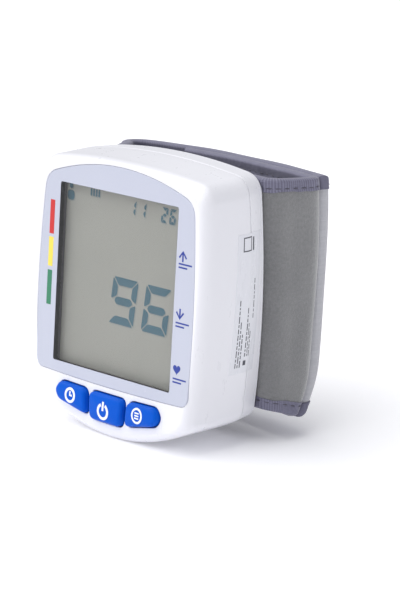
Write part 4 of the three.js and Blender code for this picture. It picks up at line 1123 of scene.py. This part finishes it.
def hook_maker():
    """Small bent hooks standing on the points of a surface."""
    tree, source = new_maker("standing hooks", Bend="Float", Wire="Float")
    inputs = {"Resolution": 6, "Radius": source["Bend"], "Sweep Angle": HOOK_SWEEP}
    bend = add(tree, "GeometryNodeCurveArc", inputs).outputs[0]
    inputs = {"Resolution": 4, "Radius": source["Wire"]}
    wire = add(tree, "GeometryNodeCurvePrimitiveCircle", inputs).outputs[0]
    inputs = {"Curve": bend, "Profile Curve": wire, "Fill Caps": True}
    hook = add(tree, "GeometryNodeCurveToMesh", inputs).outputs[0]
    inputs = {"Geometry": hook, "Rotation": (math.radians(90), 0.0, 0.0)}
    stood = add(tree, "GeometryNodeTransform", inputs).outputs[0]
    spin = combined(tree, X=math.radians(90), Y=uneven(tree, -HOOK_TWIST, HOOK_TWIST, HOOK_SEED))
    return maker_of(tree, source, Points=source["Geometry"], Instance=stood, Rotation=spin)


def rib_maker():
    """Row of rounded grip ribs across a cover."""
    tree, source = new_maker("grip ribs", Count="Int", Pitch="Float", Half_Length="Float", Rise="Float")
    inputs = {"Count": source["Count"], "Offset": combined(tree, Z=source["Pitch"])}
    row = add(tree, "GeometryNodeMeshLine", inputs, mode="OFFSET").outputs[0]
    place = add(tree, "GeometryNodeInputPosition").outputs[0]
    inputs = {"Geometry": source["Geometry"], 1: place}
    seat = add(tree, "GeometryNodeSampleIndex", inputs, data_type="FLOAT_VECTOR").outputs[0]
    moved = add(tree, "GeometryNodeSetPosition", {"Geometry": row, "Offset": seat}).outputs[0]
    size = combined(tree, X=source["Rise"], Y=source["Half Length"], Z=source["Rise"])
    return maker_of(tree, source, Points=moved, Instance=bead(tree, 20, 12), Scale=size)


STITCHES, HOOK_FIELD, GRIP_RIBS = stitch_maker(), hook_maker(), rib_maker()


def repeated(name, points, edges, tree, **values):
    """Object from a geometry tree run on points and edges of the row frame, as a plain mesh."""
    mesh = bpy.data.meshes.new(name)
    mesh.from_pydata((np.asarray(points, float) * MM).tolist(), edges, [])
    made = made_object(name, mesh)
    step = made.modifiers.new(name, "NODES")
    step.node_group = tree
    sockets = {item.name: item.identifier for item in tree.interface.items_tree if item.in_out == "INPUT"}
    for key, value in values.items():
        step[sockets[key.replace("_", " ")]] = value
    return settled(made)


rib_seat = from_housing([(-BODY["half"], CELL_DEPTH, -RIB_PITCH * (RIB_COUNT - 1) / 2)])
ribs = repeated("ribs", rib_seat, [], GRIP_RIBS, Count=RIB_COUNT, Pitch=RIB_PITCH * MM,
                Half_Length=RIB_LENGTH / 2 * MM, Rise=RIB_RISE * MM, Finish=WHITE)
placed(ribs, "lid_ribs", "battery_door", "white_case", None)


# Cloth of the cuff: velvet outside, woven lining inside, ribbed binding sewn over both edges

EDGE_ROUND, EDGE_LEAST = 1.3, 0.2
END_EDGE = 1.9
HUG_REACH = 6.0
BOUND_EASE = 0.6
SIDE_ROWS, CORE_INSET, CORE_CORNER = 40, 0.5, 0.6
CORE_WAVES = [(37.0, 61.0, 0.10), (23.0, -47.0, 0.08), (11.0, 90.0, 0.04)]
STITCH_PITCH, STITCH_LENGTH, THREAD_RADIUS, STITCH_DROP = 2.6, 1.7, 0.2, 2.65
STITCH_DENT, DENT_REACH, STITCH_BEAT, STITCH_SUNK, SEAM_START = 0.22, 0.4, 0.4, 0.14, 1.5
BINDING_ROWS = [0.0, 0.15, 0.35, 0.5, BINDING_TALL - STITCH_DROP, 1.35, 1.8, 2.3]
FOLD_RISE, FOLD_STEPS, BINDING_END = 0.9, 13, 0.25
ALONG = math.inf
LOWER_WAVES = [(13.0, ALONG, 0.14), (7.3, ALONG, 0.09), (3.1, ALONG, 0.05)]
UPPER_WAVE = (29.0, ALONG, 0.07)
LOOSE_WAVES, LOOSE_STRETCH = [(9.0, 31.0, 0.05), (4.7, 17.0, 0.04)], 3.0


def end_round(run):
    """Share of the full thickness along a band, rounded off at both ends."""
    near = np.minimum(run, run[-1] - run)
    short = (1 - near / EDGE_ROUND).clip(0, 1)
    return np.maximum(np.sqrt(1 - short ** 2), EDGE_LEAST)[:, None]


def hug_at(run, hug):
    """Extra thickness on the inside of a band's last stretch, which lies close on the layer under it."""
    share = np.clip((run - run[-1] + HUG_REACH) / (HUG_REACH - END_EDGE), 0, 1)
    return (hug * share ** 2 * (3 - 2 * share))[:, None]


def strip(name, path, offsets, heights, map_v, materials, slots):
    """Closed band: offsets across the path and heights, row by row along it, with a map in millimetres."""
    spots, along, run = path
    normal = beside(along)
    x = spots[:, :1] + normal[:, :1] * offsets
    y = spots[:, 1:] + normal[:, 1:] * offsets + lean_at(spots[:, 1:], heights)
    points, faces = loft(np.stack([x, y, heights], 2))
    rows, count = offsets.shape
    slots = np.broadcast_to(slots, (rows - 1, count))
    slots = [*slots.reshape(-1), slots[0, 0], slots[-1, 0]]
    made = outward(made_mesh(name, from_housing(points), faces, materials, slots))
    cloth_map(made, np.stack([np.repeat(run, count), np.reshape(map_v, -1)], 1))
    return made


def cloth_core(name, path, outer, seed, puff, hug):
    """Padded cloth between the bindings; outer is the sign of the offset on its outside."""
    spots, _, run = path
    top, bottom = (edge[:, None] for edge in cuff_edge(spots[:, 1]))
    share = np.linspace(0, 1, SIDE_ROWS + 1)
    z = bottom + CORE_INSET + (top - bottom - 2 * CORE_INSET) * share
    swell = np.sin(math.pi * share) ** 0.5
    rough = ripple(run[:, None], z, seed, *CORE_WAVES)
    flat = CLOTH / 2 * np.where((share == 0) | (share == 1), CORE_CORNER, 1.0)
    outside = (flat + puff * swell + rough * swell) * end_round(run)
    bound = np.clip((np.minimum(top - z, z - bottom) - BINDING_TALL) / BINDING_PROUD, -1, 0)
    inside = flat * end_round(run) + hug_at(run, hug) * (1 + BOUND_EASE * bound)
    offsets = outer * np.concatenate([outside, -inside[:, ::-1]], 1)
    heights = np.concatenate([z, z[:, ::-1]], 1)
    slots = np.tile(np.repeat([0, 1], SIDE_ROWS + 1), (len(run) - 1, 1))
    # The flap's end and the inside of its last stretch take the pale pile, a painted highlight on the
    # velvet's edge.
    if hug:
        slots[run[1:] > run[-1] - END_EDGE, SIDE_ROWS + 1:] = 2
        slots[run[1:] > run[-1] - END_EDGE / 4] = 2
    return strip(name, path, offsets, heights, heights, [VELVET, LINING, PILE_PAINTED_HIGHLIGHT], slots)


def binding(name, path, edge, seed, outer, hug):
    """Tape folded over the top (edge 1) or bottom (edge -1) of a band and drawn in along its stitches."""
    spots, _, run = path
    full = CLOTH / 2 + BINDING_PROUD
    side = np.array(BINDING_ROWS) - BINDING_TALL
    fold = np.linspace(0, math.pi, FOLD_STEPS)
    across = np.concatenate([np.full(len(side), full), full * np.cos(fold), np.full(len(side), -full)])
    drop = np.concatenate([side, FOLD_RISE * np.sin(fold) - FOLD_RISE, side[::-1]])
    dent = STITCH_DENT * np.exp(-((drop + STITCH_DROP) / DENT_REACH) ** 2)
    beat = 1 - STITCH_BEAT + STITCH_BEAT * np.cos(2 * math.pi * run[:, None] / STITCH_PITCH)
    lower = np.clip(-drop / BINDING_TALL, 0, 1) ** 3
    loose = ripple(run[:, None], LOOSE_STRETCH * drop, seed + 1, *LOOSE_WAVES)
    offsets = across - across / full * (dent * beat - loose * lower)
    offsets = offsets * (BINDING_END + (1 - BINDING_END) * end_round(run))
    offsets = offsets - outer * (across * outer < 0) * hug_at(run, hug)
    low_wave = ripple(run[:, None], 0.0, seed, *LOWER_WAVES)
    level = drop + low_wave * lower + ripple(run[:, None], 0.0, seed + 2, UPPER_WAVE) * (1 - lower)
    heights = cuff_edge(spots[:, 1:])[0 if edge > 0 else 1] + edge * level
    around = np.cumsum(np.concatenate([[0], np.hypot(np.diff(across), np.diff(drop))]))
    map_v = np.broadcast_to(around, offsets.shape)
    return strip(name, path, offsets, heights, map_v, [BINDING], [0] * len(across))


def seam_lines(path):
    """Points and edges of the stitch lines on both sides of both bindings."""
    spots, along, run = path
    keep = (run > SEAM_START) & (run < run[-1] - SEAM_START)
    top, bottom = cuff_edge(spots[:, 1])
    points, edges = [], []
    for side in (1, -1):
        flat = spots + beside(along) * side * (CLOTH / 2 + BINDING_PROUD - STITCH_SUNK)
        for z in (top - STITCH_DROP, bottom + STITCH_DROP):
            line = np.column_stack([flat[:, 0], flat[:, 1] + lean_at(spots[:, 1], z), z])[keep]
            edges += [(len(points) + k, len(points) + k + 1) for k in range(len(line) - 1)]
            points += list(line)
    return from_housing(points), edges


def sewn(name, points, edges):
    return repeated(name, points, edges, STITCHES, Pitch=STITCH_PITCH * MM, Length=STITCH_LENGTH * MM,
                    Thread=THREAD_RADIUS * MM, Finish=THREAD)


def sewn_band(name, plan, outer, seed, puff, hug=0.0):
    """Core, two bindings and the stitching of one length of cuff."""
    path = smooth_path(plan)
    core = cloth_core(name, tuple(part[:-1] for part in path), outer, seed, puff, hug)
    hug = max(hug - BINDING_PROUD, 0.0)
    top = binding(name + "_top_binding", path, 1, seed + 0.4, outer, hug)
    bottom = binding(name + "_bottom_binding", path, -1, seed + 2.1, outer, hug)
    return core, (top, bottom, sewn(name + "_stitches", *seam_lines(path))), path[2][-1]


def ride_with(body, slot, *pieces):
    for piece in pieces:
        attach(piece, body)


main_core, main_trim, main_length = sewn_band("cuff_main", main_plan(), outer=1, seed=0.3, puff=0.3)
flap_core, flap_trim, flap_length = sewn_band("cuff_flap", flap_plan(), outer=-1, seed=1.9, puff=0.5, hug=1.1)
ride_with("housing", "cloth", main_core, *main_trim)
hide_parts("cuff_base_panel", "cuff_right_arm")

# The flap's pieces have their placement put into their meshes and stay where they are made.
for piece in (flap_core, *flap_trim):
    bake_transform(piece)
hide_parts("cuff_left_panel", "closing_flap")


# Hook tape under the flap: a woven strip with rows of small bent hooks

HOOK_X, HOOK_MIDDLE, HOOK_TALL, HOOK_ROWS = (-8.4, 27.6), -2.85, 44.0, 25
HOOK_GAP, HOOK_BASE, HOOK_PITCH, HOOK_BEND, HOOK_WIRE = 0.3, 0.45, 1.1, 0.19, 0.06


def hook_strip():
    """Strip of the tape, sewn on the flap's inside, with the seats of its hooks and its length."""
    path = smooth_path([(x, back_bow(x)) for x in np.linspace(*HOOK_X, 9)])
    spots, along, run = path
    near, far = CLOTH / 2 + HOOK_GAP, CLOTH / 2 + HOOK_GAP + HOOK_BASE
    low, high = HOOK_MIDDLE - HOOK_TALL / 2, HOOK_MIDDLE + HOOK_TALL / 2
    up = np.linspace(low, high, HOOK_ROWS)
    heights = np.tile(np.concatenate([up, up[::-1]]), (len(run), 1))
    offsets = np.tile(np.repeat([near, far], HOOK_ROWS), (len(run), 1))
    base = strip("hook_strip", path, offsets, heights, heights, [LOOP_WEAVE], [0] * 2 * HOOK_ROWS)
    columns = np.arange(HOOK_PITCH, run[-1] - HOOK_PITCH / 2, HOOK_PITCH)
    seats = []
    for row, z in enumerate(np.arange(low + HOOK_PITCH, high - HOOK_PITCH / 2, HOOK_PITCH)):
        at = columns + HOOK_PITCH / 4 * (-1) ** row
        spot, side = (np.stack([np.interp(at, run, flat[:, k]) for k in (0, 1)], 1)
                      for flat in (spots, beside(along)))
        x, y = (spot + side * (far + HOOK_BEND - HOOK_WIRE)).T
        seats.append(np.column_stack([x, y + lean_at(spot[:, 1], z), np.full(len(at), z)]))
    return base, from_housing(np.concatenate(seats)), run[-1]


hook_base, hook_seats, hook_length = hook_strip()
hook_rows = repeated("hook_rows", hook_seats, [], HOOK_FIELD, Bend=HOOK_BEND * MM, Wire=HOOK_WIRE * MM,
                     Finish=HOOKS)
ride_with("flap", "hook", hook_base, hook_rows)
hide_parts("hook_tape")


# Air bladder: a flat bag of lining cloth, swollen by a short cloth simulation and sewn round its rim

BAG_HALF, BAG_MIDDLE, BAG_RISE = (28.2, 26.7), 32.25, 0.45
BAG_CELLS, BAG_SEAM, BAG_SEAM_RISE = (46, 42), 2, 0.12
BAG_SCALE, BAG_SQUARE = 10.0, 8
BAG_QUALITY, BAG_MASS = 6, 0.3
BAG_FRAMES, BAG_PRESSURE, BAG_CAP = 20, 4.0, 0.55


def bag_mesh():
    """Two sheets that share their rim; also gives the numbers of the back sheet's points."""
    across, up = BAG_CELLS
    u, v = np.meshgrid(np.linspace(-1, 1, across + 1), np.linspace(-1, 1, up + 1))
    rise = BAG_RISE * ((1 - u ** BAG_SQUARE) * (1 - v ** BAG_SQUARE)) ** 0.5
    rim = (np.abs(u) == 1) | (np.abs(v) == 1)
    front = np.arange(u.size).reshape(u.shape)
    back = np.where(rim, front, u.size + np.cumsum(~rim).reshape(u.shape) - 1)
    sheets = [np.stack([u * BAG_HALF[0], side * rise, v * BAG_HALF[1]], 2) for side in (-1, 1)]
    faces = []
    for sheet, order in ((front, 1), (back, -1)):
        for j in range(up):
            for i in range(across):
                quad = (sheet[j, i], sheet[j, i + 1], sheet[j + 1, i + 1], sheet[j + 1, i])
                faces.append(quad[::order])
    return np.concatenate([sheets[0].reshape(-1, 3), sheets[1][~rim]]), faces, back


def swollen(points, faces):
    """Points of the bag after a few frames under pressure, larger than life, none moved past the cap."""
    made = made_mesh("bag", points * BAG_SCALE, faces)
    cloth = made.modifiers.new("swelling", "CLOTH")
    cloth.settings.quality, cloth.settings.mass = BAG_QUALITY, BAG_MASS
    cloth.settings.use_pressure, cloth.settings.uniform_pressure_force = True, BAG_PRESSURE
    cloth.settings.effector_weights.gravity = 0.0
    cloth.point_cache.frame_start, cloth.point_cache.frame_end = 1, BAG_FRAMES
    for step in range(1, BAG_FRAMES + 1):
        bpy.context.scene.frame_set(step)
    done = made.evaluated_get(bpy.context.evaluated_depsgraph_get()).data
    moved = np.array([vertex.co for vertex in done.vertices]) / MM / BAG_SCALE - points
    bpy.context.scene.frame_set(1)
    discard(made)
    length = np.linalg.norm(moved, axis=1, keepdims=True)
    return points + moved * np.minimum(1.0, BAG_CAP / np.maximum(length, TINY))


def bladder():
    """Bag of the air bladder and the stitches round its rim."""
    flat, faces, back = bag_mesh()
    points = swollen(flat, faces)
    points = from_housing(points + (0.0, BAG_MIDDLE, 0.0))
    made = made_mesh("bladder_bag", points, faces, [LINING])
    cloth_map(made, flat[:, [0, 2]])
    smoother = made.modifiers.new("smoother", "SUBSURF")
    smoother.levels = smoother.render_levels = 1
    settled(made)
    inner = back[BAG_SEAM:-BAG_SEAM, BAG_SEAM:-BAG_SEAM]
    seam = [*inner[0], *inner[:, -1], *inner[-1, ::-1], *inner[::-1, 0]]
    edges = [(k, (k + 1) % len(seam)) for k in range(len(seam))]
    return made, sewn("bladder_stitches", points[seam] + (0.0, BAG_SEAM_RISE, 0.0), edges)


bag, bag_stitches = bladder()
ride_with("housing", "cloth", bag, bag_stitches)
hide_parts("air_bladder")


# Battery cells: jacket with a copper band, a rolled shoulder and bare steel ends

CELL_PROFILE = [(0.4, -22.25, 1), (4.5, -22.25, 1), (4.8, -22.1, 1), (4.95, -21.95, 0), (5.2, -21.75, 0),
                (5.25, -21.5, 0), (5.25, 9.0, 2), (5.25, 20.4, 2), (5.15, 20.75, 1), (4.8, 21.0, 1),
                (4.4, 21.1, 1), (4.2, 21.25, 1), (1.95, 21.25, 1), (1.9, 21.4, 1), (1.85, 22.1, 1),
                (1.7, 22.25, 1), (0.3, 22.25, 1)]
CELL_SIDES = 48


def cell(name, x, upright):
    """Turned cell from the radius, height and finish of each ring; upright is -1 for one upside down."""
    rings = []
    for radius, z, _ in CELL_PROFILE:
        flat = ring(x, CELL_DEPTH, radius, CELL_SIDES)
        rings.append(from_housing(np.column_stack([flat, np.full(CELL_SIDES, z * upright)])))
    slots = [slot for _, _, slot in CELL_PROFILE[:-1] for _ in range(CELL_SIDES)] + [1, 1]
    return creased(outward(made_mesh(name, *loft(rings), [JACKET, STEEL, COPPER], slots)))


for number, x, upright in zip("12", CELL_X, (1, -1)):
    name = "cell_" + number
    placed(cell(name, x, upright), name, "housing", "cell_jacket", None, "battery_" + name)


# Finishes of the works that keep their own shape

WORKS = {
    STEEL: ["case_screw_1", "case_screw_2", "case_screw_3", "case_screw_4", "cuff_screw_upper",
            "cuff_screw_lower", "battery_link", "battery_contact_1", "battery_contact_2", "pump_motor",
            "exhaust_valve"],
    BLACK: ["display_holder", "control_chip", "buzzer", "switch_plunger_clock", "switch_plunger_power",
            "switch_plunger_memory", "switch_body_clock", "switch_body_power", "switch_body_memory"],
    RUBBER: ["contact_strip_upper", "contact_strip_lower"],
    BOARD: ["circuit_board"],
    GREY: ["pressure_sensor", "battery_tray", "pump_head", "air_manifold", "cuff_clamp_plate"],
    SILICONE: ["pump_tube", "sensor_tube"],
}
for material, nodes in WORKS.items():
    for node in nodes:
        mesh = bpy.data.objects[node].data
        mesh.materials.clear()
        mesh.materials.append(material)


# Camera, light and floor

CAMERA_AT = (0.5775, -0.5013, 0.2189)
CAMERA_TURN = (90.0 - 13.42, 0.0, 47.97)
CAMERA_LENS, CAMERA_SENSOR, CAMERA_CLIP = 172.38, 36.0, (0.05, 50.0)
LIGHT_FROM, LIGHT_SPREAD, LIGHT_STRENGTH = (-0.32, -0.4, 0.88), 92.0, 2.65
SKY, SKY_STRENGTH = (0.95, 0.96, 1.0, 1.0), 0.43
FLOOR_HALF = 6.0
PAPER = {"Base Color": (0.95, 0.95, 0.965, 1.0), "Roughness": 0.9, "Specular IOR Level": 0.1,
         "Emission Color": (0.95, 0.95, 1.0, 1.0), "Emission Strength": 0.14}


def camera():
    data = bpy.data.cameras.new("photo camera")
    data.lens, data.sensor_width, data.sensor_fit = CAMERA_LENS, CAMERA_SENSOR, "AUTO"
    data.clip_start, data.clip_end = CAMERA_CLIP
    made = made_object("photo camera", data)
    made.location, made.rotation_euler = CAMERA_AT, [math.radians(turn) for turn in CAMERA_TURN]
    bpy.context.scene.camera = made


def soft_light():
    """Wide soft light from one direction, as from a large diffuser overhead."""
    data = bpy.data.lights.new("diffuser", "SUN")
    data.angle, data.energy = math.radians(LIGHT_SPREAD), LIGHT_STRENGTH
    made_object("diffuser", data).rotation_euler = Vector(LIGHT_FROM).to_track_quat("Z", "Y").to_euler()


def floor():
    """Pale floor that the camera sees as white, apart from the object's shadow on it."""
    paper = bpy.data.materials.new("floor paper")
    paper.use_nodes = True
    for key, value in PAPER.items():
        paper.node_tree.nodes["Principled BSDF"].inputs[key].default_value = value
    corners = [(x / MM, y / MM, 0.0) for x, y in rectangle(FLOOR_HALF, FLOOR_HALF)]
    made_mesh("floor", corners, [(0, 1, 2, 3)], [paper])


def studio():
    world = bpy.data.worlds.new("studio")
    world.use_nodes = True
    sky = world.node_tree.nodes["Background"].inputs
    sky["Color"].default_value, sky["Strength"].default_value = SKY, SKY_STRENGTH
    bpy.context.scene.world = world
    bpy.context.scene.view_settings.view_transform = "Standard"


camera()
floor()
soft_light()
studio()
